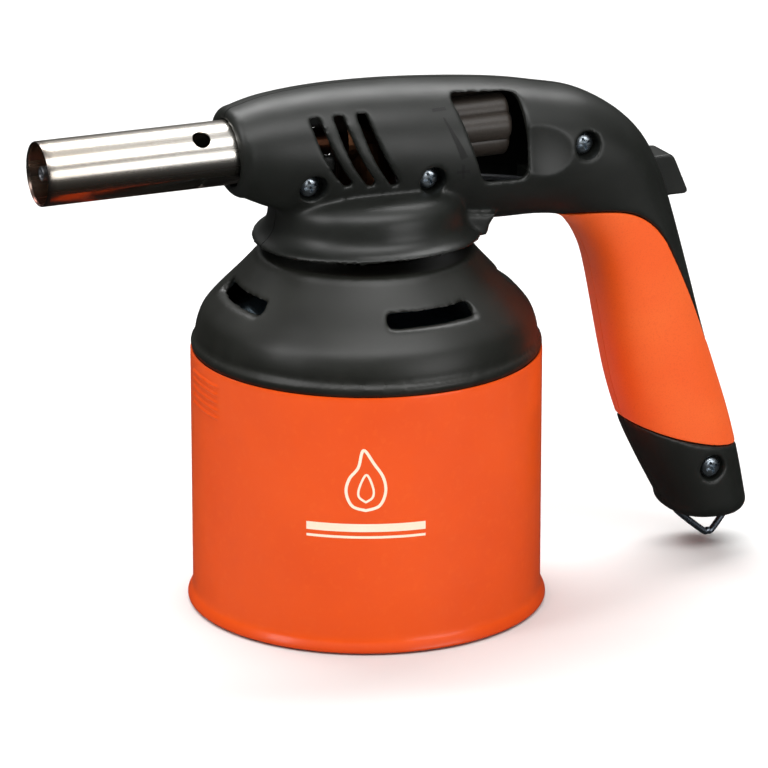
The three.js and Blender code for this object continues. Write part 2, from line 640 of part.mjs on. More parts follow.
const topLine = new THREE.SplineCurve(STATIONS.map(([x, z]) => new THREE.Vector2(x, SKIRT_Z + z)));
const underLine = new THREE.SplineCurve(STATIONS.map(([, , x, z]) => new THREE.Vector2(x, SKIRT_Z + z)));
const girth = new THREE.SplineCurve(STATIONS.map((s) => new THREE.Vector2(s[4], s[5])));
const LAST = STATIONS.length - 1;

// A ring of the body at a station number, drawn in by `inset` and moved out along the body by `push`.
function ringAt(station, inset, push) {
  const t = station / LAST;
  const top = topLine.getPoint(t);
  const under = underLine.getPoint(t);
  const across = top.clone().sub(under).multiplyScalar(0.5);
  const forward = new THREE.Vector2(across.y, -across.x).normalize();
  const { x: width, y: squareness } = girth.getPoint(t);
  return {
    centre: top.clone().add(under).multiplyScalar(0.5).addScaledVector(forward, push),
    across: across.setLength(Math.max(across.length() - inset, 0)),
    width: Math.max(width - inset, 0),
    squareness,
  };
}

// The body between two station numbers. Each end is rounded and closes to a point on its centre.
function loft(from, to, inset, { nose = 0, heel = 0, step = 1, sides = 24 } = {}) {
  const rings = [ringAt(from, Infinity, -nose)];
  const arc = [0, 1, 2, 3].map((k) => (k * Math.PI) / 6);
  for (const angle of [...arc].reverse()) {
    if (nose > 0 || angle === 0) {
      rings.push(ringAt(from, inset + nose * (1 - Math.cos(angle)), -nose * Math.sin(angle)));
    }
  }
  const count = Math.round((to - from) / step);
  for (let i = 1; i < count; i += 1) {
    rings.push(ringAt(from + ((to - from) * i) / count, inset, 0));
  }
  for (const angle of arc) {
    if (heel > 0 || angle === 0) {
      rings.push(ringAt(to, inset + heel * (1 - Math.cos(angle)), heel * Math.sin(angle)));
    }
  }
  rings.push(ringAt(to, Infinity, heel));
  const surface = (u, v, target) => {
    const ring = rings[Math.round(v * (rings.length - 1))];
    const angle = 2 * Math.PI * (Math.round(u * sides) % sides) / sides;
    const bent = (value) => Math.sign(value) * Math.abs(value) ** (2 / ring.squareness);
    const up = bent(Math.cos(angle));
    const side = bent(Math.sin(angle));
    target.set(
      ring.centre.x + up * ring.across.x, side * ring.width, ring.centre.y + up * ring.across.y,
    );
  };
  return solid(new ParametricGeometry(surface, sides, rings.length - 1));
}

const neckOutline = smooth([
  [SKIRT_RADIUS - 0.6, SKIRT_Z + 1.2], [SKIRT_RADIUS - 2.6, SKIRT_Z + 2.8],
  [NECK_RADIUS + 0.5, SKIRT_Z + 5.4],
  [NECK_RADIUS, SKIRT_Z + 8.6], [NECK_RADIUS - 0.8, SKIRT_Z + 11.4], [NECK_RADIUS - 3.4, SKIRT_Z + 13.8],
  [NECK_RADIUS - 8, SKIRT_Z + 15.2],
], 7);

function makeNeck() {
  const skirt = turned('z', [
    [0, SKIRT_Z], [SKIRT_RADIUS, SKIRT_Z], [SKIRT_RADIUS, SKIRT_Z + 0.8], ...neckOutline, [0, SKIRT_Z + 15.8],
  ], { segments: 48 });
  const tab = turned('z', [
    [20, SKIRT_Z + 0.3], [SKIRT_RADIUS + 1.2, SKIRT_Z + 0.3], [SKIRT_RADIUS + 1.6, SKIRT_Z + 1],
    [SKIRT_RADIUS + 1.9, SKIRT_Z + 3], [SKIRT_RADIUS + 4, SKIRT_Z + 6], [20, SKIRT_Z + 8],
  ], { segments: 48 });
  return union([skirt, tab.intersect(block(18, 45, -14, 14, SKIRT_Z - PAST, SKIRT_Z + 12))]);
}

// What is below the skirt's lower edge, which is arched up at the sides.
function makeSkirtArch() {
  const reach = SKIRT_RADIUS + 3;
  const shape = new THREE.Shape([new THREE.Vector2(-reach, -5), new THREE.Vector2(reach, -5)]);
  for (let i = 0; i <= 12; i += 1) {
    const y = reach * (1 - i / 6);
    shape.lineTo(y, SKIRT_ARCH * (y / SKIRT_RADIUS) ** 2);
  }
  const geometry = new THREE.ExtrudeGeometry(shape, { depth: 2 * reach, bevelEnabled: false });
  return solid(geometry.rotateX(Math.PI / 2).rotateZ(Math.PI / 2).translate(-reach, 0, SKIRT_Z));
}

function makeNeckHollow() {
  const inner = inward(neckOutline, NECK_WALL).filter(([, z]) => z > SKIRT_Z + 1.5);
  return turned('z', [
    [0, SKIRT_Z - PAST], [SKIRT_RADIUS - 1.2, SKIRT_Z - PAST], [SKIRT_RADIUS - 1.2, SKIRT_Z + 0.4], ...inner,
    [0, inner[inner.length - 1][1]],
  ], { segments: 48 });
}

// Window outline for the knob, slanted at the front
const windowShape = roundedPolygon([
  [19.8, SKIRT_Z + 39.4], [40.4, SKIRT_Z + 37.6], [40.4, SKIRT_Z + 15.4], [27.2, SKIRT_Z + 15.6],
], 3);

// Three bowed air slots in each side of the head
function makeAirSlots() {
  const slots = [];
  for (let i = 0; i < 3; i += 1) {
    const x = -21.2 + 6.6 * i;
    const top = SKIRT_Z + 37.4;
    const foot = SKIRT_Z + 18.8 - 0.6 * i;
    const shape = new THREE.Shape();
    shape.moveTo(x, top);
    shape.quadraticCurveTo(x + 1.8, SKIRT_Z + 26, x + 8.8, foot);
    shape.lineTo(x + 11.2, foot + 0.6);
    shape.quadraticCurveTo(x + 4.8, SKIRT_Z + 27, x + 2.8, top);
    shape.closePath();
    slots.push(slab(shape, -25, -6), slab(shape, 6, 25));
  }
  return union(slots);
}

// Area of the soft grip, seen from the side
const gripShape = new THREE.Shape();
gripShape.moveTo(45, SKIRT_Z - 6);
gripShape.lineTo(52, SKIRT_Z - 0.6);
gripShape.quadraticCurveTo(58, SKIRT_Z + 3, 68, SKIRT_Z + 2);
gripShape.quadraticCurveTo(78, SKIRT_Z + 1, 84, SKIRT_Z - 9);
gripShape.quadraticCurveTo(91.6, SKIRT_Z - 23, 98.6, SKIRT_Z - 39);
gripShape.lineTo(118, SKIRT_Z - 68);
gripShape.lineTo(118, SKIRT_Z - 71.2);
gripShape.quadraticCurveTo(98, SKIRT_Z - 71.2, 74, SKIRT_Z - 60);
gripShape.lineTo(60, SKIRT_Z - 54);
gripShape.closePath();

function makeLoopSlots() {
  const cuts = [];
  const reach = LOOP_WIRE_RADIUS + RUNNING;
  for (const [x, inner] of [[LOOP_FRONT, 1], [LOOP_REAR, -1]]) {
    cuts.push(block(x - reach - GAP, x + reach + GAP, -4.6, 4.6, LOOP_Z - 12, LOOP_Z + reach));
    const [from, to] = [x, x + inner * (LOOP_HOOK + 2 * GAP)].sort((a, b) => a - b);
    cuts.push(rod('x', reach, from, to, { z: LOOP_Z, segments: 16 }));
  }
  return union(cuts);
}

function makeHangLoop() {
  const low = LOOP_Z - LOOP_DROP;
  return wire([
    [LOOP_FRONT + LOOP_HOOK, 0, LOOP_Z], [LOOP_FRONT + 1, 0, LOOP_Z], [LOOP_FRONT + 0.2, 0, LOOP_Z - 0.8],
    [LOOP_FRONT + 0.6, 0, LOOP_Z - 3], [103.2, 0, low + 0.3], [104.8, 0, low], [106.4, 0, low + 0.3],
    [LOOP_REAR - 0.4, 0, LOOP_Z - 3], [LOOP_REAR - 0.2, 0, LOOP_Z - 0.8],
    [LOOP_REAR - 1, 0, LOOP_Z], [LOOP_REAR - LOOP_HOOK, 0, LOOP_Z],
  ], LOOP_WIRE_RADIUS, { sides: 6, steps: 40 });
}

// How far the outside of the body stands from the mid-plane at a screw.
function sideAt(x, z) {
  let best = Infinity;
  let width = 0;
  for (let station = 0; station <= LAST; station += 0.05) {
    const { centre, across, width: half, squareness } = ringAt(station, 0, 0);
    const offset = new THREE.Vector2(x, z).sub(centre);
    const along = offset.dot(across.clone().normalize()) / across.length();
    const off = Math.abs(offset.cross(across.clone().normalize()));
    if (off < best && Math.abs(along) < 1) {
      best = off;
      width = half * (1 - Math.abs(along) ** squareness) ** (1 / squareness);
    }
  }
  return width;
}

// Where the seat of a screw's head is, on the left side.
const screwSeat = ([x, z, depth]) => depth - sideAt(x, SKIRT_Z + z);

// A post for each screw through both shells, wider round the sunk screw head, and a web on the
// parting plane above and below the mixing tube, behind the air slots.
function makeBosses() {
  const posts = Object.values(SCREWS).flatMap((place) => {
    const at = { x: place[0], z: SKIRT_Z + place[1], segments: 20 };
    const wide = COUNTERBORE_RADIUS + BOSS_WALL;
    return [rod('y', BOSS_RADIUS, -20, 20, at), rod('y', wide, -20, screwSeat(place) + BOSS_WALL, at)];
  });
  const [front, level] = SCREWS.screw_front;
  const clear = MIXING_RADIUS + GAP;
  const back = -VALVE_POST_RADIUS - GAP - PAST;
  return union([
    ...posts,
    block(front - 1, back, -WEB_WALL, WEB_WALL, AXIS_Z + clear, SKIRT_Z + STATIONS[3][1]),
    block(front - 1, back, -WEB_WALL, WEB_WALL, SKIRT_Z + level, AXIS_Z - clear),
  ]);
}

function makeScrewHoles() {
  return union(Object.values(SCREWS).flatMap((place) => {
    const at = { x: place[0], z: SKIRT_Z + place[1], segments: 20 };
    return [
      rod('y', COUNTERBORE_RADIUS, -22, screwSeat(place), at),
      rod('y', SCREW_SHANK_RADIUS + GAP, -22, 12, at),
    ];
  }));
}

function makeScrew([x, z, depth]) {
  const seat = screwSeat([x, z, depth]) - GAP;
  const head = seat - SCREW_HEAD_HEIGHT;
  const body = turned('y', [
    [0, head], [SCREW_HEAD_RADIUS - 0.8, head], [SCREW_HEAD_RADIUS, head + 0.9], [SCREW_HEAD_RADIUS, seat],
    [SCREW_SHANK_RADIUS, seat], [SCREW_SHANK_RADIUS, 9], [0, 11],
  ], { x, z: SKIRT_Z + z, segments: 16 });
  const cross = union([
    block(x - 1.6, x + 1.6, head - PAST, head + 1, SKIRT_Z + z - 0.35, SKIRT_Z + z + 0.35),
    block(x - 0.35, x + 0.35, head - PAST, head + 1, SKIRT_Z + z - 1.6, SKIRT_Z + z + 1.6),
  ]);
  return body.subtract(cross);
}

function makeShells() {
  const outer = loft(0, LAST, 0, { nose: NOSE_ROUND, heel: HEEL_ROUND });
  const hollow = union([
    loft(0.1, HANDLE_START + 1, SHELL_WALL, { step: 1.5, sides: 16 }),
    loft(HANDLE_START, LAST - 0.6, HANDLE_WALL, { step: 1.5, sides: 16 }),
  ]);
  const tall = BUTTON_HEIGHT / 2 + RUNNING;
  const wide = BUTTON_WIDTH / 2 + RUNNING;
  const whole = union([outer, makeNeck()])
    .subtract(union([hollow, makeNeckHollow()]).subtract(makeBosses()))
    .subtract(union([
      rod('x', BURNER_RADIUS + RUNNING, -60, BURNER_BACK + RUNNING, { z: AXIS_Z }),
      slab(windowShape, -25, 25),
      makeAirSlots(),
      block(BUTTON_FLANGE_X, 110, -wide, wide, BUTTON_Z - tall, BUTTON_Z + tall),
      makeScrewHoles(),
      makeSkirtArch(),
      rod('x', KNOB_RADIUS + RUNNING, KNOB_FRONT - RUNNING, KNOB_BACK + RUNNING, { z: AXIS_Z, segments: 36 }),
      makeLoopSlots(),
    ]));
  const band = loft(0, LAST, -PAST).subtract(loft(0, LAST, GRIP_THICKNESS + GAP))
    .intersect(slab(grown(gripShape, GAP), -30, 30));
  const skin = outer.subtract(loft(0, LAST, GRIP_THICKNESS)).intersect(slab(gripShape, -30, 30));
  return { whole: whole.subtract(band), skin };
}

const { whole, skin } = makeShells();
const leftHalf = block(-60, 140, -40, -GAP / 2, SKIRT_Z - 120, SKIRT_Z + 60);
const rightHalf = block(-60, 140, GAP / 2, 40, SKIRT_Z - 120, SKIRT_Z + 60);

// ---- The assembly ----

addPart('cup', makeCup(), ORANGE_PAINT);
addPart('cartridge', makeCartridge(), CAN_STEEL);
addPart('dome', makeDome(), BLACK_PLASTIC);
addPart('neck_bush', makeNeckBush(), BRASS);
addPart('cartridge_seal', makeCartridgeSeal(), RUBBER);
addPart('left_shell', withoutSpecks(whole.intersect(leftHalf)), BLACK_PLASTIC);
addPart('right_shell', withoutSpecks(whole.intersect(rightHalf)), BLACK_PLASTIC);
addPart('left_grip', withoutSpecks(skin.intersect(leftHalf)), ORANGE_GRIP);
addPart('right_grip', withoutSpecks(skin.intersect(rightHalf)), ORANGE_GRIP);
addPart('valve_body', makeValveBody(), BRASS);
addPart('piercing_needle', makeNeedle(), STEEL);
addPart('gland_ring', makeGlandRing(), RUBBER);
addPart('gland_nut', makeGlandNut(), BRASS);
addPart('jet', makeJet(), BRASS);
addPart('mixing_tube', makeMixingTube(), BRASS);
addPart('burner_tube', makeBurnerTube(), STAINLESS);
addPart('flame_holder', makeFlameHolder(), BRASS);
addPart('pilot_tube', makePilotTube(), STEEL);
addPart('ceramic_insulator', makeInsulator(), CERAMIC);
addPart('electrode', makeElectrode(), STEEL);
addPart('ignition_lead', makeIgnitionLead(), LEAD_SLEEVE);
addPart('piezo_body', makePiezoBody(), BLACK_PLASTIC);
for (const [name, place] of Object.entries(SCREWS)) {
  addPart(name, makeScrew(place), ZINC);
}
addPart('gas_knob', makeKnob(), KNOB_PLASTIC);
addPart('valve_spindle', makeSpindle(), STEEL);
addPart('knob_clip', makeKnobClip(), STEEL);
addPart('igniter_button', makeButton(), BLACK_PLASTIC);
addPart('piezo_plunger', makePiezoPlunger(), STEEL);
addPart('piezo_spring', makePiezoSpring(), STEEL);
addPart('hang_loop', makeHangLoop(), STEEL);

export default torch;
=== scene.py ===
import math

import bmesh
import bpy
import numpy as np
from mathutils import Euler, Matrix, Vector


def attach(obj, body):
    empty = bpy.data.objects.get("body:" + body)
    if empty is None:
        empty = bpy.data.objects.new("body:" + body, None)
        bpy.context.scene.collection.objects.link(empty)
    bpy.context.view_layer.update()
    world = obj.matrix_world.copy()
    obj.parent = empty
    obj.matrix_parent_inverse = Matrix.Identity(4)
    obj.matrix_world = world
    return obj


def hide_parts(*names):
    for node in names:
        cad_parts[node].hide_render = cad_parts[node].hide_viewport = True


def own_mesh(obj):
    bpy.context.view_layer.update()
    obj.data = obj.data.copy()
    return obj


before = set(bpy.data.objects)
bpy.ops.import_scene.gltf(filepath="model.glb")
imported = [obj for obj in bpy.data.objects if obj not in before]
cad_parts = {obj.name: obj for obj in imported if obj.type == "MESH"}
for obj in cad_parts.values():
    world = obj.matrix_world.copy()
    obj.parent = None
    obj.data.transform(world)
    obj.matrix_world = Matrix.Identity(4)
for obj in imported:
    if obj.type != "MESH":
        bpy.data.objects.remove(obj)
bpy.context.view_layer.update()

MM = 0.001

# ---- Driving dimensions, the same as the frame's ----

GAP = 0.3
RUNNING = 0.4
PAST = 1.0

CUP_RADIUS = 47.5
CUP_INNER = 46.8
CUP_HEIGHT = 71.5
CUP_FLOOR = 1.0
FOOT_FLARE = 1.4
RIB_PITCH = 2.2
RIB_FIRST = 12.5  # below the cup's lip
RIB_COUNT = 5
RIB_HALF_ARC = 10.8  # degrees
RIB_HALF_WIDTH = 0.62
RIB_PROUD = 0.45
RIB_FADE = 1.5  # degrees over which each rib dies away at its ends
PRINT_ANGLE = math.radians(-113.8)  # where the middle of the print is, round from +X
PRINT_PROUD = 0.05
DOME_BASE = 71.8
DOME_TOP = 98.8
DOME_TOP_RADIUS = 30.0
DOME_WALL = 2.0
DOME_BEAD_HEIGHT = 2.6
DOME_SLOT_HEIGHT = 3.4
DOME_SLOT_ARC = 40
DOME_SLOT_PLACES = (0, 85, 180, 275)
SPIGOT_DEPTH = 7.0
SPIGOT_WALL = 1.2
BUSH_RADIUS = 17.0
BUSH_LEDGE = 3.0
SKIRT_Z = 101.8
SKIRT_RADIUS = 31.0
SKIRT_ARCH = 1.6
NECK_RADIUS = 26.3
NECK_WALL = 2.0

AXIS_Z = 129.5
BURNER_RADIUS = 8.63
BURNER_WALL = 0.6
BURNER_FRONT = -93.1
BURNER_BACK = -30.0
BURNER_SINK = -60.0  # how far forward the head is bored out for the burner
AIR_HOLE_RADIUS = 2.5
AIR_HOLE_X = -49.6
PILOT_RADIUS = 2.0
PILOT_BORE = 1.4
PILOT_BACK = -66.0
INSULATOR_Y = -5.7
INSULATOR_RISE = 1.9  # above the burner's axis
INSULATOR_BACK = -36.0
ELECTRODE_RADIUS = 0.5

SHELL_WALL = 2.2
HANDLE_WALL = 3.4
GRIP_THICKNESS = 1.3
NOSE_ROUND = 3.0
HEEL_ROUND = 4.0
HANDLE_START = 9  # the station from which the wall is the handle's
PARTING = 0.14  # each housing half stops this far from the middle plane

KNOB_RADIUS = 9.6
KNOB_FRONT = 21.0
KNOB_LENGTH = 18.0
KNOB_FLUTES = 7
KNOB_FLUTE_DEPTH = 1.2
KNOB_BEVEL = 1.2
KNOB_PHASE = math.radians(30)  # angle above the left side at which one groove lies
SPINDLE_RADIUS = 2.0

SCREW_SHANK_RADIUS = 1.4
SCREW_HEAD_RADIUS = 2.9
SCREW_HEAD_HEIGHT = 2.0
VALVE_POST_RADIUS = 8.0
MIXING_RADIUS = 3.8
WEB_WALL = 1.2
BOSS_RADIUS = 3.4
BOSS_WALL = 1.4
COUNTERBORE_RADIUS = 3.75

BUTTON_HEIGHT = 11.6
BUTTON_WIDTH = 11.0
BUTTON_Z = SKIRT_Z + 8.2
BUTTON_REACH = 94.2
BUTTON_LEAN = 5.0
BUTTON_FLANGE_X = 77.6
PIEZO_BACK = 69.0
SPRING_RADIUS = 3.7
SPRING_WIRE_RADIUS = 0.35
SPRING_TURNS = 4

LOOP_WIRE_RADIUS = 0.95
LOOP_Z = SKIRT_Z - 88.6
LOOP_FRONT = 94.4
LOOP_REAR = 112.2
LOOP_DROP = 10.4
LOOP_HOOK = 5.5

EDGE_ANGLE = 14  # degrees between a corner's normal and a face's where an edge is rounded
EDGE_ROUNDS = 8
REMESH_SLANT = (0.61, 0.47, 0.38)  # radians about x, y and z
TINY = 1e-7  # metres, below which corners are one
CAMERA_DISTANCE = 1400.0
FLOOR_REACH = 4000.0

# [top x, top z, under x, under z, half thickness, squareness] from the nose to the heel, with z
# above the skirt's lower edge
STATIONS = np.array([
    [-38, 39.9, -36.4, 15.2, 13.2, 2.1],
    [-29, 42.0, -28.6, 11.6, 14.8, 2.1],
    [-14, 43.2, -15, 7.4, 16.2, 2.1],
    [4, 43.0, 3, 4.6, 16.8, 2.1],
    [22, 41.7, 20, 2.6, 17.0, 2.1],
    [38, 39.8, 36, 1.6, 17.0, 2.15],
    [50, 37.5, 47, 1.4, 16.6, 2.2],
    [61.4, 34.7, 54.5, 0.4, 16.0, 2.3],
    [71.6, 29.2, 58.9, -2.0, 15.4, 2.4],
    [79.2, 22.0, 61.8, -5.2, 14.9, 2.5],
    [84.5, 12.7, 64.1, -9.0, 14.5, 2.5],
    [87.9, 3.0, 66.1, -13.8, 14.3, 2.5],
    [91.3, -8.2, 67.7, -20.2, 14.2, 2.5],
    [94.6, -19.5, 69.6, -29.8, 14.1, 2.5],
    [99.0, -34.9, 71.8, -41.2, 14.0, 2.5],
    [103.3, -47.5, 74.3, -52.0, 13.9, 2.5],
    [107.8, -61.0, 78.4, -64.2, 13.8, 2.5],
    [111.2, -74.0, 83.8, -75.4, 13.7, 2.5],
    [113.9, -87.8, 90.0, -86.8, 13.5, 2.5],
], float)
LAST = len(STATIONS) - 1

# x, z above the skirt's edge, and how deep the head's seat is sunk
SCREWS = {
    "screw_front": (-20.9, 18.9, 5.6),
    "screw_middle": (12.6, 17.9, 5.6),
    "screw_rear": (58.5, 22.2, 5.2),
    "screw_handle": (99.2, -75.6, 3.2),
}


# ---- Meshes ----

def linked(name, data):
    """A new object in the scene that holds a mesh, a light or a camera."""
    obj = bpy.data.objects.new(name, data)
    bpy.context.scene.collection.objects.link(obj)
    return obj


def new_object(name, verts, faces, dissolve=False):
    """An object from corners in millimetres, with its faces turned outwards."""
    mesh = bpy.data.meshes.new(name)
    mesh.from_pydata([[c * MM for c in v] for v in verts], [], faces)
    bm = bmesh.new()
    bm.from_mesh(mesh)
    bmesh.ops.remove_doubles(bm, verts=bm.verts, dist=TINY)
    if dissolve:
        bmesh.ops.dissolve_degenerate(bm, dist=TINY, edges=bm.edges)
    bmesh.ops.recalc_face_normals(bm, faces=bm.faces)
    bm.to_mesh(mesh)
    bm.free()
    return linked(name, mesh)


def remove(*objects):
    for obj in objects:
        bpy.data.objects.remove(obj)


def rings_object(name, rings):
    """A closed body through rings of equal length, each a list of (x, y, z), closed at both ends."""
    count = len(rings[0])
    verts = [p for ring in rings for p in ring]
    faces = []
    for i in range(len(rings) - 1):
        for j in range(count):
            k = (j + 1) % count
            faces.append((i * count + j, i * count + k, (i + 1) * count + k, (i + 1) * count + j))
    for ring in (0, len(rings) - 1):
        centre = np.mean(rings[ring], axis=0)
        verts.append(tuple(centre))
        for j in range(count):
            faces.append((ring * count + j, ring * count + (j + 1) % count, len(verts) - 1))
    return new_object(name, verts, faces)


def turned(name, axis, profile, segments=96, x=0.0, y=0.0, z=0.0, shift=None):
    """A solid of revolution from [radius, place along the axis]; shift(angle, r, s) may move both."""
    verts, faces = [], []
    count = len(profile)
    for j in range(segments):
        angle = 2 * math.pi * j / segments
        for r, s in profile:
            out, level = shift(angle, r, s) if shift else (r, s)
            a, b = out * math.cos(angle), out * math.sin(angle)
            p = {"z": (a, b, level), "x": (level, a, b), "y": (b, level, a)}[axis]
            verts.append((p[0] + x, p[1] + y, p[2] + z))
    for j in range(segments):
        k = (j + 1) % segments
        for i in range(count):
            n = (i + 1) % count
            faces.append((j * count + i, k * count + i, k * count + n, j * count + n))
    return new_object(name, verts, faces, dissolve=True)


def rod(name, axis, radius, start, end, **options):
    return turned(name, axis, [(0, start), (radius, start), (radius, end), (0, end)], **options)


def block(name, x0, x1, y0, y1, z0, z1):
    verts = [(x, y, z) for x in (x0, x1) for y in (y0, y1) for z in (z0, z1)]
    faces = [(0, 1, 3, 2), (4, 6, 7, 5), (0, 4, 5, 1), (2, 3, 7, 6), (0, 2, 6, 4), (1, 5, 7, 3)]
    return new_object(name, verts, faces)


def prism(name, first, second):
    """A closed body between two matching outlines, each a list of (x, y, z)."""
    count = len(first)
    faces = [tuple(range(count)), tuple(range(2 * count - 1, count - 1, -1))]
    faces += [(i, (i + 1) % count, count + (i + 1) % count, count + i) for i in range(count)]
    return new_object(name, first + second, faces)


def slab(name, outline, y0, y1):
    """An outline in x and z made into a slab between two values of y."""
    return prism(name, *([(x, y, z) for x, z in outline] for y in (y0, y1)))


def quadratic(start, control, end, steps=10):
    """Points on a quadratic curve, without its first."""
    points = []
    for i in range(1, steps + 1):
        t = i / steps
        a, b, c = (1 - t) ** 2, 2 * t * (1 - t), t * t
        points.append(tuple(a * p + b * q + c * r for p, q, r in zip(start, control, end)))
    return points


def rounded(corners, radius, steps=6):
    outline = []
    for i, corner in enumerate(corners):
        here = Vector(corner)
        back = Vector(corners[i - 1]) - here
        ahead = Vector(corners[(i + 1) % len(corners)]) - here
        start = here + back.normalized() * radius
        end = here + ahead.normalized() * radius
        outline.append(tuple(start))
        outline += quadratic(tuple(start), corner, tuple(end), steps)
    return outline


def grown(outline, distance):
    """The same closed outline moved outwards all round by a distance."""
    points = [Vector(p) for p in outline]
    count = len(points)
    area = sum(points[i - 1].x * points[i].y - points[i].x * points[i - 1].y for i in range(count))
    turn = 1 if area > 0 else -1
    moved = []
    for i, p in enumerate(points):
        before = (p - points[i - 1]).normalized()
        after = (points[(i + 1) % count] - p).normalized()
        out = Vector((before.y + after.y, -before.x - after.x)) * turn
        moved.append(tuple(p + out * (distance / (1 + before.dot(after)))))
    return moved


def spline(points, t):
    """A uniform Catmull-Rom curve through rows of numbers, at t from 0 to 1."""
    last = len(points) - 1
    place = min(max(t, 0.0), 1.0) * last
    i = min(int(place), last)
    w = place - i
    p0, p1 = points[max(i - 1, 0)], points[i]
    p2, p3 = points[min(i + 1, last)], points[min(i + 2, last)]
    v0, v1 = (p2 - p0) / 2, (p3 - p1) / 2
    return ((2 * p1 - 2 * p2 + v0 + v1) * w ** 3
            + (-3 * p1 + 3 * p2 - 2 * v0 - v1) * w ** 2 + v0 * w + p1)


def raised(*points):
    """Points given as (across, height above the skirt's lower edge)."""
    return [(across, SKIRT_Z + height) for across, height in points]


def smooth(points, divisions):
    rows = np.array(points, float)
    return [tuple(spline(rows, i / divisions)) for i in range(divisions + 1)]


def polar(radius, angle, z):
    return radius * math.cos(angle), radius * math.sin(angle), z


def inward(profile, wall):
    """The same open profile moved towards the axis by a wall thickness."""
    moved = []
    for i, (r, z) in enumerate(profile):
        r0, z0 = profile[max(i - 1, 0)]
        r1, z1 = profile[min(i + 1, len(profile) - 1)]
        length = math.hypot(r1 - r0, z1 - z0)
        moved.append((r - wall * (z1 - z0) / length, z + wall * (r1 - r0) / length))
    return moved


def tube(name, points, radius, sides=20, steps=160):
    """A round wire along a smooth curve through the points, closed at both ends."""
    rows = np.array(points, float)
    path = [spline(rows, i / steps) for i in range(steps + 1)]
    side = None
    rings = []
    for i, p in enumerate(path):
        ahead = Vector(path[min(i + 1, steps)] - path[max(i - 1, 0)]).normalized()
        if side is None:
            side = ahead.orthogonal().normalized()
        side = (side - ahead * side.dot(ahead)).normalized()
        other = ahead.cross(side)
        ring = []
        for k in range(sides):
            angle = 2 * math.pi * k / sides
            offset = (side * math.cos(angle) + other * math.sin(angle)) * radius
            ring.append(tuple(Vector(p) + offset))
        rings.append(ring)
    return rings_object(name, rings)


def boolean(obj, cutter, operation):
    modifier = obj.modifiers.new("join", "BOOLEAN")
    modifier.object = cutter
    modifier.operation = operation
    modifier.solver = "EXACT"
    bake(obj)
    remove(cutter)
    return obj


def bake(obj):
    """Applies every modifier of an object to its mesh."""
    depsgraph = bpy.context.evaluated_depsgraph_get()
    mesh = bpy.data.meshes.new_from_object(obj.evaluated_get(depsgraph))
    old = obj.data
    obj.modifiers.clear()
    obj.data = mesh
    mesh.name = obj.name
    bpy.data.meshes.remove(old)
    return obj


def cut(obj, *cutters):
    for cutter in cutters:
        boolean(obj, cutter, "DIFFERENCE")
    return obj


def join(obj, *others):
    for other in others:
        boolean(obj, other, "UNION")
    return obj


def relax(obj, factor, iterations, group):
    modifier = obj.modifiers.new("relax", "SMOOTH")
    modifier.factor = factor
    modifier.iterations = iterations
    modifier.vertex_group = group


def soften(obj, voxel, rounds):
    """Even small faces all over, then relaxed so that every edge becomes a small round.

    The body is remeshed at a slant, so that no edge runs nearly along the grid and comes out wavy.
    """
    slant = Euler(REMESH_SLANT).to_matrix().to_4x4()
    obj.data.transform(slant)
    remesh = obj.modifiers.new("even", "REMESH")
    remesh.mode = "VOXEL"
    remesh.voxel_size = voxel * MM
    bake(obj)
    obj.data.transform(slant.inverted())
    edges = obj.vertex_groups.new(name="edges")
    edges.add(edge_corners(obj.data), 1.0, "REPLACE")
    relax(obj, 0.5, rounds, "")
    relax(obj, 0.5, EDGE_ROUNDS, edges.name)
    bake(obj)
    obj.vertex_groups.clear()
    return obj


def column(items, attribute, width, kind):
    values = np.zeros(len(items) * width, kind)
    items.foreach_get(attribute, values)
    return values.reshape(-1, width)


def edge_corners(mesh):
    """The corners on and beside sharp edges, as a list of vertex numbers."""
    corners = column(mesh.loops, "vertex_index", 1, int)[:, 0]
    sizes = column(mesh.polygons, "loop_total", 1, int)[:, 0]
    normals, faces = (column(items, "normal", 3, float) for items in (mesh.vertices, mesh.polygons))
    face_of = np.repeat(np.arange(len(sizes)), sizes)
    agreement = (normals[corners] * faces[face_of]).sum(axis=1)
    lowest = np.ones(len(mesh.vertices))
    np.minimum.at(lowest, corners, agreement)
    sharp = lowest < math.cos(math.radians(EDGE_ANGLE))
    touched = np.zeros(len(sizes), bool)
    np.logical_or.at(touched, face_of, sharp[corners])
    beside = np.zeros(len(mesh.vertices), bool)
    beside[corners[touched[face_of]]] = True
    return np.flatnonzero(beside).tolist()


def shade(obj, angle):
    obj.data.polygons.foreach_set("use_smooth", [True] * len(obj.data.polygons))
    obj.data.set_sharp_from_angle(angle=math.radians(angle))
    return obj


def half(obj, name, sign):
    """The part of a closed body on one side of the parting plane, capped where it is cut."""
    copy = linked(name, obj.data.copy())
    bm = bmesh.new()
    bm.from_mesh(copy.data)
    result = bmesh.ops.bisect_plane(
        bm, geom=bm.verts[:] + bm.edges[:] + bm.faces[:], dist=TINY,
        plane_co=(0, sign * PARTING * MM, 0), plane_no=(0, -sign, 0), clear_outer=True)
    rim = [e for e in result["geom_cut"] if isinstance(e, bmesh.types.BMEdge)]
    bmesh.ops.triangle_fill(bm, use_beauty=True, use_dissolve=False, edges=rim)
    bm.to_mesh(copy.data)
    bm.free()
    return shade(copy, 50)


# ---- The lofted body of head and handle ----

TOP_LINE = STATIONS[:, 0:2] + (0, SKIRT_Z)
UNDER_LINE = STATIONS[:, 2:4] + (0, SKIRT_Z)
GIRTH = STATIONS[:, 4:6]


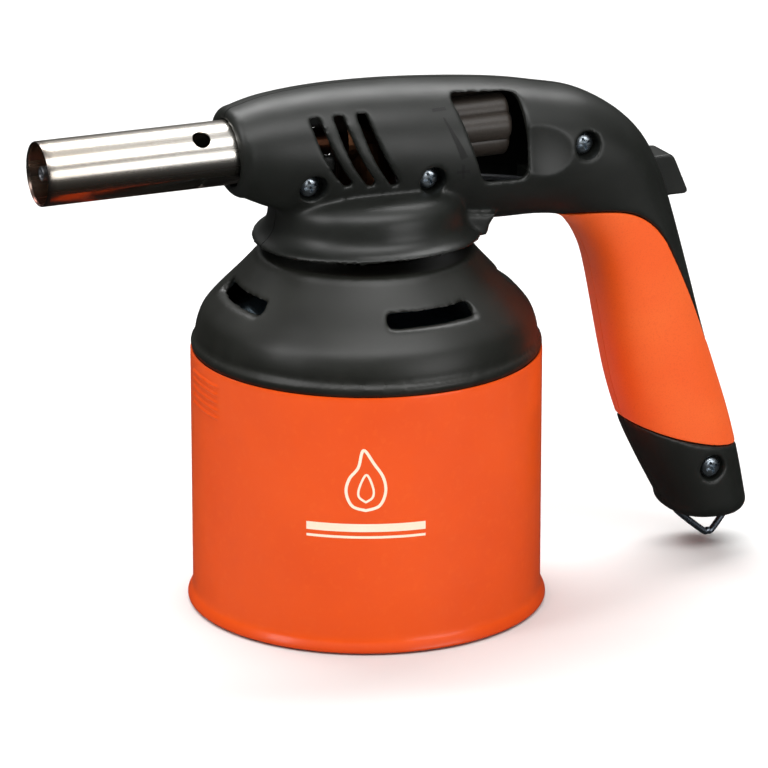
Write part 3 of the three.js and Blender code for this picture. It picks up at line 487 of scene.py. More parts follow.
def ring_at(station, inset, push):
    """Centre, half height, forward direction, half thickness and squareness of one section."""
    t = station / LAST
    top, under = spline(TOP_LINE, t), spline(UNDER_LINE, t)
    across = (top - under) / 2
    length = np.linalg.norm(across)
    across = across / length
    forward = np.array((across[1], -across[0]))
    width, squareness = spline(GIRTH, t)
    centre = (top + under) / 2 + forward * push
    return centre, across * max(length - inset, 0.0), max(width - inset, 0.0), squareness


def section(ring, sides):
    centre, across, width, squareness = ring
    points = []
    for k in range(sides):
        angle = 2 * math.pi * k / sides
        c, s = math.cos(angle), math.sin(angle)
        up = math.copysign(abs(c) ** (2 / squareness), c)
        side = math.copysign(abs(s) ** (2 / squareness), s)
        points.append((centre[0] + up * across[0], side * width, centre[1] + up * across[1]))
    return points


def loft(name, start, end, inset, nose=0.0, heel=0.0, step=0.2, sides=96, arcs=8):
    """The body between two stations, with its ends rounded where nose and heel give a radius."""
    def arc(station, radius, way, i):
        angle = math.pi / 2 * i / (arcs + 0.4)
        return ring_at(station, inset + radius * (1 - math.cos(angle)), way * radius * math.sin(angle))

    count = max(round((end - start) / step), 2)
    rings = [arc(start, nose, -1, i) for i in range(arcs if nose else 0, -1, -1)]
    rings += [ring_at(start + (end - start) * i / count, inset, 0) for i in range(1, count)]
    rings += [arc(end, heel, 1, i) for i in range(arcs + 1 if heel else 1)]
    return rings_object(name, [section(r, sides) for r in rings])


def side_at(x, z):
    """How far the outside of the body stands from the middle plane at x and z."""
    best, width = math.inf, 0.0
    for i in range(LAST * 20 + 1):
        centre, across, thick, squareness = ring_at(i / 20, 0, 0)
        length = np.linalg.norm(across)
        unit = across / length
        offset = np.array((x, z)) - centre
        along = float(offset @ unit) / length
        off = abs(float(offset[0] * unit[1] - offset[1] * unit[0]))
        if off < best and abs(along) < 1:
            best = off
            width = thick * (1 - abs(along) ** squareness) ** (1 / squareness)
    return width


# ---- Materials ----

def srgb(r, g, b):
    """A display colour, 0 to 255, as the linear colour that shaders use."""
    linear = [c / 255 / 12.92 if c / 255 <= 0.04045 else ((c / 255 + 0.055) / 1.055) ** 2.4
              for c in (r, g, b)]
    return (*linear, 1.0)


def feed(socket, value):
    """Sets a node's input to a plain value, or links it to another node's output."""
    if isinstance(value, bpy.types.NodeSocket):
        socket.id_data.links.new(value, socket)
    else:
        socket.default_value = value


class Surface:
    """A node material with mottled colour, uneven gloss and a fine bump, all in object space."""

    def __init__(self, name, colour, metallic=0.0, coat=0.0, specular=0.5):
        self.material = bpy.data.materials.new(name)
        self.material.use_nodes = True
        self.nodes = self.material.node_tree.nodes
        self.shader = self.nodes["Principled BSDF"].inputs
        feed(self.shader["Metallic"], metallic)
        feed(self.shader["Coat Weight"], coat)
        feed(self.shader["Coat Roughness"], 0.12)
        feed(self.shader["Specular IOR Level"], specular)
        self.place = self.node("TexCoord").outputs["Object"]
        self.colour = self.mixed(colour, 0.0, colour)
        self.height = None

    def node(self, kind, **inputs):
        """A new node with some inputs fed; _ stands for the space in an input's name."""
        node = self.nodes.new("ShaderNode" + kind)
        for name, value in inputs.items():
            feed(node.inputs[name.replace("_", " ")], value)
        return node

    def mixed(self, colour, factor, other):
        node = self.node("Mix")
        node.data_type = "RGBA"
        for name, value in (("Factor", factor), ("A", colour), ("B", other)):
            feed(node.inputs[name], value)
        return node.outputs["Result"]

    def noise(self, scale, detail, stretch=(1, 1, 1)):
        """Noise from 0 to 1, with this many lumps per millimetre along each axis."""
        mapping = self.node("Mapping", Scale=[scale * s / MM for s in stretch], Vector=self.place)
        noise = self.node("TexNoise", Scale=1.0, Detail=detail, Vector=mapping.outputs["Vector"])
        return noise.outputs["Fac"]

    def ramp(self, value, stops):
        """A value passed through two stops of [place, height]."""
        node = self.node("ValToRGB", Fac=value)
        for element, (place, height) in zip(node.color_ramp.elements, stops):
            element.position = place
            element.color = (height, height, height, 1)
        return node.outputs["Color"]

    def along(self, axis, start, end):
        """0 at `start` to 1 at `end` along an axis, both in millimetres."""
        level = self.node("SeparateXYZ", Vector=self.place).outputs[axis]
        return self.node("MapRange", From_Min=start * MM, From_Max=end * MM, Value=level).outputs["Result"]

    def product(self, a, b):
        node = self.node("Math")
        node.operation = "MULTIPLY"
        for value, socket in zip((a, b), node.inputs):
            feed(socket, value)
        return node.outputs["Value"]

    def tint(self, colour, factor):
        """Mixes another colour in where the factor is high."""
        self.colour = self.mixed(self.colour, factor, colour)

    def gloss(self, value, low, high):
        """Roughness from `low` to `high` by a value from 0 to 1."""
        node = self.node("MapRange", To_Min=low, To_Max=high, Value=value)
        feed(self.shader["Roughness"], node.outputs["Result"])

    def bump(self, value, strength, distance):
        node = self.node("Bump", Strength=strength, Distance=distance * MM, Height=value)
        if self.height:
            feed(node.inputs["Normal"], self.height)
        self.height = node.outputs["Normal"]

    def finish(self):
        feed(self.shader["Base Color"], self.colour)
        if self.height:
            feed(self.shader["Normal"], self.height)
        return self.material


def plastic(name, colour, lighter, low, high, grain):
    """Moulded plastic: spark-eroded grain, faint flow marks and slightly rubbed patches."""
    s = Surface(name, colour)
    s.tint(lighter, s.ramp(s.noise(0.06, 4), [(0.42, 0.0), (0.72, 0.55)]))
    s.tint(lighter, s.ramp(s.noise(1.7, 2), [(0.5, 0.0), (0.8, 0.4)]))
    s.gloss(s.noise(0.12, 5), low, high)
    s.bump(s.noise(3.2, 2), grain, 0.06)
    s.bump(s.noise(0.35, 3), grain * 0.5, 0.12)
    return s.finish()


def metal(name, colour, darker, low, high, stretch, scratch):
    """Machined or plated metal with tool marks, dull patches and small stains."""
    s = Surface(name, colour, metallic=1.0)
    s.tint(darker, s.ramp(s.noise(0.25, 4), [(0.45, 0.0), (0.75, 0.6)]))
    s.gloss(s.noise(1.2, 3, stretch), low, high)
    s.bump(s.noise(2.4, 3, stretch), scratch, 0.03)
    return s.finish()


def make_orange_paint():
    """Baked enamel: faint orange peel under a clear gloss, a little deeper in broad patches, with painted
    shade darkening the foot near the floor.
    """
    s = Surface("orange_paint", srgb(233, 82, 14), coat=0.15, specular=0.3)
    s.tint(srgb(214, 66, 10), s.ramp(s.noise(0.03, 3), [(0.35, 0.0), (0.75, 0.5)]))
    s.tint(srgb(238, 98, 30), s.ramp(s.noise(0.5, 3), [(0.55, 0.0), (0.85, 0.35)]))
    # painted shade: the lowest few millimetres of the foot darkened towards the floor
    s.tint(srgb(190, 52, 12), s.ramp(s.along("Z", 0, 7), [(0.0, 0.75), (0.5, 0.0)]))
    s.gloss(s.noise(0.2, 4), 0.26, 0.4)
    s.bump(s.noise(0.8, 2), 0.05, 0.08)
    return s.finish()


def make_grip_rubber():
    """Soft-touch rubber: matt, finely stippled, with a slightly polished palm area."""
    s = Surface("grip_rubber", srgb(236, 90, 22), specular=0.3)
    s.tint(srgb(240, 108, 40), s.ramp(s.noise(0.05, 3), [(0.4, 0.0), (0.75, 0.5)]))
    s.tint(srgb(204, 62, 14), s.ramp(s.noise(2.4, 2), [(0.5, 0.0), (0.85, 0.45)]))
    s.gloss(s.noise(0.1, 4), 0.46, 0.64)
    s.bump(s.noise(4.5, 1), 0.16, 0.05)
    return s.finish()


def make_valve_brass():
    """Brass, its colour darkened as painted shade for the dim inside of the head, and painted near black
    below the head as painted shade in the dark gap between the neck and the dome.
    """
    # painted shade: a brass colour far darker than brass's own, for the dim inside of the head
    s = Surface("valve_brass", srgb(104, 70, 48), metallic=1.0)
    s.tint(srgb(60, 38, 26), s.ramp(s.noise(0.25, 4), [(0.4, 0.0), (0.75, 0.7)]))
    # painted shade: near black below z 108, where the valve shows in the dark gap between the neck and the
    # dome
    s.tint(srgb(16, 15, 14), s.ramp(s.along("Z", 112, 108), [(0.0, 0.0), (1.0, 0.96)]))
    s.gloss(s.noise(1.2, 3), 0.3, 0.5)
    s.bump(s.noise(2.4, 3), 0.2, 0.03)
    return s.finish()


def make_stainless():
    """Polished tube drawn lengthwise, straw and brown where the flame has heated it, and darkened along its
    whole underside as painted shade.
    """
    s = Surface("stainless", srgb(240, 236, 229), metallic=1.0)
    streaks = s.noise(0.9, 4, (0.02, 1, 1))
    s.tint(srgb(172, 162, 150), s.ramp(streaks, [(0.45, 0.0), (0.7, 0.5)]))
    heat = s.product(s.along("X", -40, -88), s.ramp(s.noise(0.06, 3, (1, 2, 2)), [(0.3, 0.5), (0.7, 1.0)]))
    # painted shade: the underside darkened along the whole tube, not only where it was heated
    s.tint(srgb(96, 88, 78), s.ramp(s.along("Z", 130.5, 122), [(0.0, 0.0), (0.45, 0.75)]))
    s.tint(srgb(206, 170, 118), s.product(heat, 0.25))
    s.tint(srgb(150, 108, 82), s.product(heat, s.ramp(s.along("Z", 131, 121), [(0.35, 0.0), (1.0, 0.8)])))
    s.tint(srgb(168, 74, 58), s.product(heat, s.ramp(s.along("Z", 124, 120.6), [(0.2, 0.0), (0.9, 0.75)])))
    s.tint(srgb(70, 52, 60), s.ramp(s.along("X", -90.6, -93.2), [(0.0, 0.0), (1.0, 0.7)]))
    s.gloss(streaks, 0.16, 0.34)
    s.bump(s.noise(3.0, 2, (0.03, 1, 1)), 0.12, 0.02)
    return s.finish()


BLACK = plastic("black_plastic", srgb(23, 25, 22), srgb(34, 36, 33), 0.34, 0.48, 0.1)
BLACK_DOME = plastic("black_dome", srgb(24, 25, 21), srgb(36, 37, 32), 0.34, 0.48, 0.12)
# partly the knob's own brown-grey, partly painted shade: its colour is darkened for the dim window it sits in
KNOB_PLASTIC = plastic("knob_plastic", srgb(52, 46, 41), srgb(76, 68, 60), 0.34, 0.48, 0.08)
# painted shade: the embossed marks are coloured darker than the shell, standing in for the shade along their
# edges
MARK_PAINTED_SHADE = plastic("mark_black", srgb(14, 14, 13), srgb(24, 24, 22), 0.5, 0.66, 0.1)
RUBBER = plastic("seal_rubber", srgb(22, 22, 22), srgb(42, 42, 42), 0.6, 0.8, 0.2)
LEAD_SLEEVE = plastic("lead_sleeve", srgb(52, 54, 58), srgb(110, 112, 116), 0.45, 0.6, 0.1)
CERAMIC = plastic("ceramic", srgb(226, 219, 205), srgb(240, 236, 228), 0.3, 0.45, 0.06)
PALE_INK = plastic("pale_ink", srgb(247, 226, 200), srgb(250, 238, 220), 0.35, 0.5, 0.04)
ORANGE_PAINT = make_orange_paint()
GRIP_RUBBER = make_grip_rubber()
STAINLESS = make_stainless()
ZINC = metal("zinc_screw", srgb(186, 196, 204), srgb(112, 124, 138), 0.2, 0.38, (1, 1, 1), 0.2)
# painted shade: a brass colour far darker than brass's own, so the parts seen through the slots look dim
# inside the head
BRASS_WITH_PAINTED_SHADE = metal("brass", srgb(96, 60, 42), srgb(44, 28, 22), 0.26, 0.46, (0.15, 1, 1), 0.2)
STEEL = metal("steel", srgb(170, 172, 176), srgb(112, 114, 118), 0.24, 0.42, (0.1, 1, 1), 0.2)
WIRE_STEEL = metal("wire_steel", srgb(150, 160, 172), srgb(96, 102, 112), 0.2, 0.36, (1, 1, 1), 0.12)
CAN_STEEL = metal("can_steel", srgb(156, 176, 190), srgb(120, 134, 146), 0.28, 0.42, (1, 1, 0.1), 0.12)


def place(obj, body, slot, material, *nodes):
    """Gives a finished piece its finish and its body, and hides the frame's nodes that it takes the place of.
    """
    obj.data.materials.clear()
    obj.data.materials.append(material)
    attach(obj, body)
    if nodes:
        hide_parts(*nodes)


def refinish(material, *nodes):
    for node in nodes:
        for material_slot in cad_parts[node].material_slots:
            material_slot.material = material


# ---- Cup and dome ----

def rib_height(angle, s):
    """How far the cup's wall is pressed out, at an angle and a height."""
    turn = math.degrees(min(abs(angle - k * math.pi) for k in (0, 1, 2)))
    ends = min(max((RIB_HALF_ARC - turn) / RIB_FADE, 0.0), 1.0)
    height = 0.0
    for i in range(RIB_COUNT):
        offset = abs(s - (CUP_HEIGHT - RIB_FIRST + RIB_PITCH * i)) / RIB_HALF_WIDTH
        height = max(height, 1 - offset * offset)
    return RIB_PROUD * ends * max(height, 0.0)


def make_cup():
    """Drawn cup with a flared foot, a rolled lip and grip ribs pressed out on two sides."""
    foot = CUP_RADIUS + FOOT_FLARE
    out, top = CUP_RADIUS, CUP_HEIGHT
    outside = smooth([
        (foot - 2.2, 0.35), (foot - 0.9, 0.4), (foot - 0.15, 0.75), (foot, 1.2), (foot - 0.25, 1.9),
        (out + 0.75, 2.7), (out + 0.3, 3.6), (out + 0.05, 4.8), (out, 6.2),
    ], 24)
    wall = [(out, 8 + 1.5 * i) for i in range(32)] + [(out, 56 + 0.2 * i) for i in range(70)]
    lip = [(out, top - 0.5), (out - 0.1, top - 0.12), (out - 0.35, top), (CUP_INNER + 0.1, top - 0.1),
           (CUP_INNER, top - 0.4)]
    inside = [(CUP_INNER, 6), (CUP_INNER - 0.6, 2.6), (CUP_INNER - 3, CUP_FLOOR), (0, CUP_FLOOR)]
    profile = [(0, 0), (out - 3, 0), (out - 2.2, 0.3)] + outside + wall + lip + inside

    def pressed(angle, r, s):
        return r + (rib_height(angle, s) if r == CUP_RADIUS else 0.0), s

    cup = turned("cup_painted", "z", profile, segments=360, shift=pressed)
    place(shade(cup, 35), "holder", "painted_orange", ORANGE_PAINT, "cup")


def on_cup(name, points, width, up):
    """A thin printed line wrapped on the cup, through points given as (across, up)."""
    rows = [Vector(p) for p in points]
    last, closed = len(rows) - 1, points[0] == points[-1]
    verts, faces = [], []
    for i, p in enumerate(rows):
        ahead = (rows[min(i + 1, last)] - rows[max(i - 1, 0)]).normalized()
        if closed and i in (0, last):
            ahead = (rows[1] - rows[last - 1]).normalized()
        normal = Vector((-ahead.y, ahead.x)) * (width / 2)
        for radius, corner in ((CUP_RADIUS + PRINT_PROUD, p + normal), (CUP_RADIUS + PRINT_PROUD, p - normal),
                               (CUP_RADIUS - 0.1, p - normal), (CUP_RADIUS - 0.1, p + normal)):
            angle = PRINT_ANGLE + corner.x / CUP_RADIUS
            verts.append(polar(radius, angle, up + corner.y))
    for i in range(last):
        for k in range(4):
            n = (k + 1) % 4
            faces.append((4 * i + k, 4 * i + n, 4 * i + 4 + n, 4 * i + 4 + k))
    if not closed:
        faces += [(0, 1, 2, 3), (4 * last, 4 * last + 1, 4 * last + 2, 4 * last + 3)]
    obj = new_object(name, verts, faces)
    place(shade(obj, 30), "holder", "painted_orange", PALE_INK)


def make_print():
    """A plain flame outline over two rules, printed in a pale ink."""
    flame = [(0, -8.5), (-3.6, -7.3), (-5.2, -3.6), (-4.4, 0.2), (-2, 3.4), (-0.6, 8.2), (2.2, 4.4),
             (4.6, 0.6), (5.2, -3.4), (3.6, -7.2), (0, -8.5)]
    core = [(0, -6.2), (-1.9, -4.6), (-1.6, -1.8), (0.2, 1.4), (1.9, -2.2), (1.8, -4.8), (0, -6.2)]
    on_cup("print_flame", smooth(flame, 80), 0.8, 49.0)
    on_cup("print_core", smooth(core, 48), 0.6, 49.0)
    for name, reach, width, up in (("print_rule", 16.0, 2.2, 35.6), ("print_rule_short", 16.0, 0.7, 33.0)):
        on_cup(name, [(reach * (i / 20 - 1), 0) for i in range(41)], width, up)


def make_dome():
    """Bell with a bead at its rim, a spigot inside the cup and four vent slots."""
    body = CUP_RADIUS - 1.3
    bead_top = DOME_BASE + DOME_BEAD_HEIGHT
    drop = body - DOME_TOP_RADIUS
    bell = smooth([
        (body, bead_top), (body - 0.1, bead_top + 2.4), (body - 0.9, bead_top + 5.4),
        (body - 2.3, bead_top + 8.2), (body - drop * 0.36, bead_top + 12.2),
        (body - drop * 0.68, bead_top + 17.4), (DOME_TOP_RADIUS, DOME_TOP - 1.4),
    ], 48)
    inner = inward(bell, DOME_WALL)
    base, foot, top, ledge = DOME_BASE, DOME_BASE - SPIGOT_DEPTH, DOME_TOP, DOME_TOP - BUSH_LEDGE
    bead, spigot, hole = CUP_RADIUS, CUP_INNER - GAP, BUSH_RADIUS + GAP
    profile = [(spigot, foot), (spigot, base - 0.1), (bead - 0.5, base), (bead - 0.1, base + 0.4),
               (bead, base + 1.2), (bead - 0.05, bead_top - 0.8), (bead - 0.3, bead_top - 0.3),
               (body + 0.4, bead_top - 0.05)]
    profile += bell + [(DOME_TOP_RADIUS - 0.5, top - 0.4), (DOME_TOP_RADIUS - 1.6, top), (hole, top),
                       (hole, ledge), (inner[-1][0], ledge)]
    profile += inner[1:-1][::-1] + [(spigot - SPIGOT_WALL, bead_top), (spigot - SPIGOT_WALL, foot)]
    dome = turned("cover_dome", "z", profile, segments=256)
    middle = bead_top + 14.6
    for i, degrees in enumerate(DOME_SLOT_PLACES):
        cut(dome, sector(f"slot_cutter_{i}", degrees, middle))
    soften(dome, 0.62, 5)
    place(shade(dome, 60), "cover", "black_plastic", BLACK_DOME, "dome")


def sector(name, degrees, middle):
    """A curved bar with rounded corners, to cut one slot through the dome."""
    outer, inner = CUP_RADIUS + 4, DOME_TOP_RADIUS - 4
    middle_radius = (inner + outer) / 2
    reach = math.radians(DOME_SLOT_ARC / 2) * middle_radius
    high = DOME_SLOT_HEIGHT / 2
    outline = rounded([(-reach, -high), (reach, -high), (reach, high), (-reach, high)], 1.3)
    return prism(name, *([polar(radius, math.radians(degrees) + a / middle_radius, middle + h)
                          for a, h in outline] for radius in (inner, outer)))


# ---- Housing of head and handle ----

NECK_OUTLINE = smooth(raised(
    (SKIRT_RADIUS - 0.6, 1.2), (SKIRT_RADIUS - 2.6, 2.8), (NECK_RADIUS + 0.5, 5.4), (NECK_RADIUS, 8.6),
    (NECK_RADIUS - 0.8, 11.4), (NECK_RADIUS - 3.4, 13.8), (NECK_RADIUS - 8, 15.2),
), 36)

WINDOW = rounded(raised((19.8, 39.4), (40.4, 37.6), (40.4, 15.4), (27.2, 15.6)), 3)

GRIP_OUTLINE = (raised((45, -6), (52, -0.6))
                + quadratic(*raised((52, -0.6), (58, 3), (68, 2)))
                + quadratic(*raised((68, 2), (78, 1), (84, -9)))
                + quadratic(*raised((84, -9), (91.6, -23), (98.6, -39)))
                + raised((118, -68), (118, -71.2))
                + quadratic(*raised((118, -71.2), (98, -71.2), (74, -60)))
                + raised((60, -54)))


def make_neck():
    """The round neck over the dome, with the tab that fills the corner below the handle."""
    rim = SKIRT_RADIUS
    profile = raised((0, 0), (rim - 1.2, 0), (rim - 0.9, -0.05), (rim - 0.5, -0.05), (rim - 0.15, 0.15),
                     (rim - 0.05, 0.5)) + NECK_OUTLINE + raised((0, 15.8))
    tab = turned("neck_tab", "z", raised((20, 0.3), (rim + 1.2, 0.3), (rim + 1.6, 1), (rim + 1.9, 3),
                                         (rim + 4, 6), (20, 8)), segments=144)
    boolean(tab, block("tab_limits", 18, 45, -14, 14, SKIRT_Z - PAST, SKIRT_Z + 12), "INTERSECT")
    return join(turned("neck", "z", profile, segments=192, shift=arched), tab)


def arched(angle, r, s):
    """Raises the skirt's lower edge at the sides, fading out further up the neck."""
    fade = min(max(1 - (s - SKIRT_Z) / 7, 0.0), 1.0)
    return r, s + SKIRT_ARCH * math.sin(angle) ** 2 * fade * fade


def make_neck_hollow():
    inner = [(r, z) for r, z in inward(NECK_OUTLINE, NECK_WALL) if z > SKIRT_Z + 1.5]
    rim = SKIRT_RADIUS - 1.2
    profile = raised((0, -PAST), (rim, -PAST), (rim, 0.4)) + inner + [(0, inner[-1][1])]
    return turned("neck_hollow", "z", profile, segments=144, shift=arched)


def make_air_slot(i, side):
    """One bowed slot through the head's wall, counted from the front."""
    x, foot = -21.2 + 6.6 * i, SKIRT_Z + 18.8 - 0.6 * i
    start, front_bow, back_bow, end = raised((x, 37.4), (x + 1.8, 26), (x + 4.8, 27), (x + 2.8, 37.4))
    low, corner = (x + 8.8, foot), (x + 11.2, foot + 0.6)
    outline = [start] + quadratic(start, front_bow, low) + [corner] + quadratic(corner, back_bow, end)
    return slab(f"air_slot_{i}", outline, *sorted((side * 6, side * 25)))


def screw_seat(spec):
    x, z, depth = spec
    return depth - side_at(x, SKIRT_Z + z)


def at_screw(spec):
    return {"x": spec[0], "z": SKIRT_Z + spec[1], "segments": 48}


def make_hollow():
    hollow = loft("hollow", 0.1, HANDLE_START + 1, SHELL_WALL, step=0.5, sides=64)
    handle = loft("handle_hollow", HANDLE_START, LAST - 0.6, HANDLE_WALL, step=0.5, sides=64)
    join(hollow, handle, make_neck_hollow())
    for name, spec in SCREWS.items():
        at = at_screw(spec)
        wide = COUNTERBORE_RADIUS + BOSS_WALL
        cut(hollow, rod(f"{name}_post", "y", BOSS_RADIUS, -20, 20, **at),
            rod(f"{name}_collar", "y", wide, -20, screw_seat(spec) + BOSS_WALL, **at))
    front, level, _ = SCREWS["screw_front"]
    clear, back = MIXING_RADIUS + GAP, -VALVE_POST_RADIUS - GAP - PAST
    cut(hollow,
        block("web_top", front - 1, back, -WEB_WALL, WEB_WALL, AXIS_Z + clear, SKIRT_Z + STATIONS[3][1]),
        block("web_low", front - 1, back, -WEB_WALL, WEB_WALL, SKIRT_Z + level, AXIS_Z - clear))
    return hollow


def make_thumb_scoop():
    """A shallow dish in each side behind the knob's window."""
    scoop = bpy.data.meshes.new("scoop")
    bm = bmesh.new()
    for side in (-1, 1):
        made = bmesh.ops.create_uvsphere(bm, u_segments=64, v_segments=48, radius=MM)
        turn = Matrix.Rotation(math.radians(-14), 4, "Y")
        size = Matrix.Diagonal((14.5, 6.5, 19, 1))
        move = Matrix.Translation(Vector((45.5, side * 21.3, SKIRT_Z + 28)) * MM)
        bmesh.ops.transform(bm, matrix=move @ turn @ size, verts=made["verts"])
    bm.to_mesh(scoop)
    bm.free()
    return linked("scoop", scoop)


def make_loop_slots():
    reach = LOOP_WIRE_RADIUS + RUNNING
    cutters = []
    for x, inner in ((LOOP_FRONT, 1), (LOOP_REAR, -1)):
        cutters.append(block(f"loop_slot_{inner}", x - reach - GAP, x + reach + GAP, -4.6, 4.6,
                             LOOP_Z - 12, LOOP_Z + reach))
        start, end = sorted((x, x + inner * (LOOP_HOOK + 2 * GAP)))
        cutters.append(rod(f"loop_bore_{inner}", "x", reach, start, end, z=LOOP_Z, segments=32))
    return cutters


def make_body():
    outer = loft("housing", 0, LAST, 0, NOSE_ROUND, HEEL_ROUND)
    body = cut(join(outer, make_neck()), make_hollow())
    knob_back = KNOB_FRONT + KNOB_LENGTH
    tall, wide = BUTTON_HEIGHT / 2 + RUNNING, BUTTON_WIDTH / 2 + RUNNING
    cutters = [
        rod("burner_bore", "x", BURNER_RADIUS + RUNNING, BURNER_SINK, BURNER_BACK + RUNNING, z=AXIS_Z),
        slab("window", WINDOW, -25, 25),
        *[make_air_slot(i, side) for i in range(3) for side in (-1, 1)],
        block("button_opening", BUTTON_FLANGE_X, 110, -wide, wide, BUTTON_Z - tall, BUTTON_Z + tall),
        rod("knob_pocket", "x", KNOB_RADIUS + RUNNING, KNOB_FRONT - RUNNING, knob_back + RUNNING,
            z=AXIS_Z),
        make_thumb_scoop(),
        *make_loop_slots(),
    ]
    for name, spec in SCREWS.items():
        at = at_screw(spec)
        cutters.append(rod(f"{name}_sink", "y", COUNTERBORE_RADIUS, -22, screw_seat(spec), **at))
        cutters.append(rod(f"{name}_hole", "y", SCREW_SHANK_RADIUS + GAP, -22, 12, **at))
    band = cut(loft("band", 0, LAST, -PAST, step=0.4), loft("under_band", 0, LAST, GRIP_THICKNESS + GAP))
    boolean(band, slab("band_area", grown(GRIP_OUTLINE, GAP), -30, 30), "INTERSECT")
    return cut(body, *cutters, band)


def blend_neck(obj):
    """Relaxes the crease where the round neck meets the head into a soft fillet."""
    group = obj.vertex_groups.new(name="fillet")
    for v in obj.data.vertices:
        x, y, z = v.co / MM
        level = 1 - abs(z - (SKIRT_Z + 11)) / 8
        near = math.hypot(x, y)
        if level > 0 and 19 < near < 34:
            group.add([v.index], min(2 * level, 1.0), "REPLACE")
    relax(obj, 0.6, 26, group.name)
    return bake(obj)


def make_grip():
    skin = cut(loft("grip", 0, LAST, 0, NOSE_ROUND, HEEL_ROUND), loft("grip_core", 0, LAST, GRIP_THICKNESS))
    boolean(skin, slab("grip_area", GRIP_OUTLINE, -30, 30), "INTERSECT")
    return soften(skin, 0.3, 5)


def make_seam_lip():
    """A tongue inside the wall, across the seam, so that no light comes through it."""
    lip = cut(
        loft("seam_lip", 0, LAST, GRIP_THICKNESS + GAP, NOSE_ROUND, HEEL_ROUND, step=0.25),
        loft("lip_core", 0, LAST, GRIP_THICKNESS + 3 * GAP, NOSE_ROUND, HEEL_ROUND, step=0.25),
        rod("lip_bore", "x", BURNER_RADIUS + RUNNING, BURNER_SINK, BURNER_BACK, z=AXIS_Z),
        block("lip_button", BUTTON_FLANGE_X, 110, -9, 9, BUTTON_Z - 7, BUTTON_Z + 7),
        block("lip_loop", 80, 130, -9, 9, LOOP_Z - 20, LOOP_Z + 2),
        block("lip_neck", -SKIRT_RADIUS, SKIRT_RADIUS, -9, 9, SKIRT_Z - 20, SKIRT_Z + 14),
    )
    boolean(lip, block("lip_reach", -60, 140, -2 * GAP, 2 * GAP, SKIRT_Z - 120, SKIRT_Z + 60), "INTERSECT")
    place(lip, "head", "black_plastic", BLACK)


def make_marks():
    """Less, a thinning wedge and more beside the knob's window, just proud of the surface, coloured darker
    than the shell as painted shade for the edges of the embossed marks.
    """
    for name, outline in {
        "mark_less": [(13.6, 36.0), (17.6, 36.0), (17.6, 36.8), (13.6, 36.8)],
        "mark_wedge": [(16.1, 34.4), (16.5, 34.5), (22.2, 23.7), (20.2, 23.1)],
        "mark_more_across": [(18.9, 19.3), (22.7, 19.3), (22.7, 20.1), (18.9, 20.1)],
        "mark_more_up": [(20.4, 17.8), (21.2, 17.8), (21.2, 21.6), (20.4, 21.6)],
    }.items():
        mark = slab(name, raised(*outline), -24, -8)
        boolean(mark, loft("mark_skin", 0, LAST, -0.03, step=0.1), "INTERSECT")
        cut(mark, loft("mark_core", 0, LAST, 0.25, step=0.1))
        place(shade(mark, 30), "head", "black_plastic", MARK_PAINTED_SHADE)


def make_screw(name, spec):
    """Pan head with a cross recess, its rim rounded, on a plain shank."""
    x, z, _ = spec
    seat = screw_seat(spec) - GAP
    head = seat - SCREW_HEAD_HEIGHT
    wide = SCREW_HEAD_RADIUS
    profile = [(0, head), (1.5, head + 0.03), (wide - 0.8, head + 0.22), (wide - 0.25, head + 0.6),
               (wide, head + 1.05), (wide, seat - 0.15), (wide - 0.15, seat),
               (SCREW_SHANK_RADIUS, seat), (SCREW_SHANK_RADIUS, 9), (0, 11)]
    screw = turned(f"{name}_fine", "y", profile, segments=72, x=x, z=SKIRT_Z + z)
    recess = []
    for k in range(4):
        turn = math.radians(90 * k + 20)
        for across, out in ((-0.36, 1.75), (0.36, 1.75), (0.42, 0.42)):
            recess.append((x + out * math.cos(turn) - across * math.sin(turn),
                           SKIRT_Z + z + out * math.sin(turn) + across * math.cos(turn)))
    cut(screw, slab(f"{name}_recess", recess, head - 1, head + 1.2))
    place(shade(screw, 30), "head", "zinc_screw", ZINC, name)


# ---- Knob, button, loop ----

def make_knob():
    """Broad lobes with narrow grooves between them, rounded over at both ends."""
    length, run = KNOB_LENGTH, 1.6
    rounding = [(0, KNOB_BEVEL), (0.25, 0.75), (0.6, 0.32), (1.1, 0.05), (run, 0)]
    sections = rounding + [(run + (length - 2 * run) * i / 12, 0) for i in range(1, 12)]
    sections += [(length - s, inset) for s, inset in rounding[::-1]]
    rings = []
    for s, inset in sections:
        ring = []
        for k in range(KNOB_FLUTES * 24):
            angle = 2 * math.pi * k / (KNOB_FLUTES * 24)
            wave = abs(math.sin((angle - KNOB_PHASE) * KNOB_FLUTES / 2)) ** 0.75
            radius = KNOB_RADIUS - KNOB_FLUTE_DEPTH * (1 - wave) - inset
            ring.append((KNOB_FRONT + s, -radius * math.cos(angle), AXIS_Z + radius * math.sin(angle)))
        rings.append(ring)
    knob = rings_object("knob_fluted", rings)
    back = KNOB_FRONT + length
    cut(knob, rod("knob_bore", "x", SPINDLE_RADIUS + GAP, KNOB_FRONT - 2, back + 2, z=AXIS_Z, segments=48),
        turned("knob_dish", "x", [(0, back - 1), (5.6, back - 1), (6.4, back + 1), (0, back + 1)],
               z=AXIS_Z, segments=64))
    place(shade(knob, 34), "knob", "knob_plastic", KNOB_PLASTIC, "gas_knob")


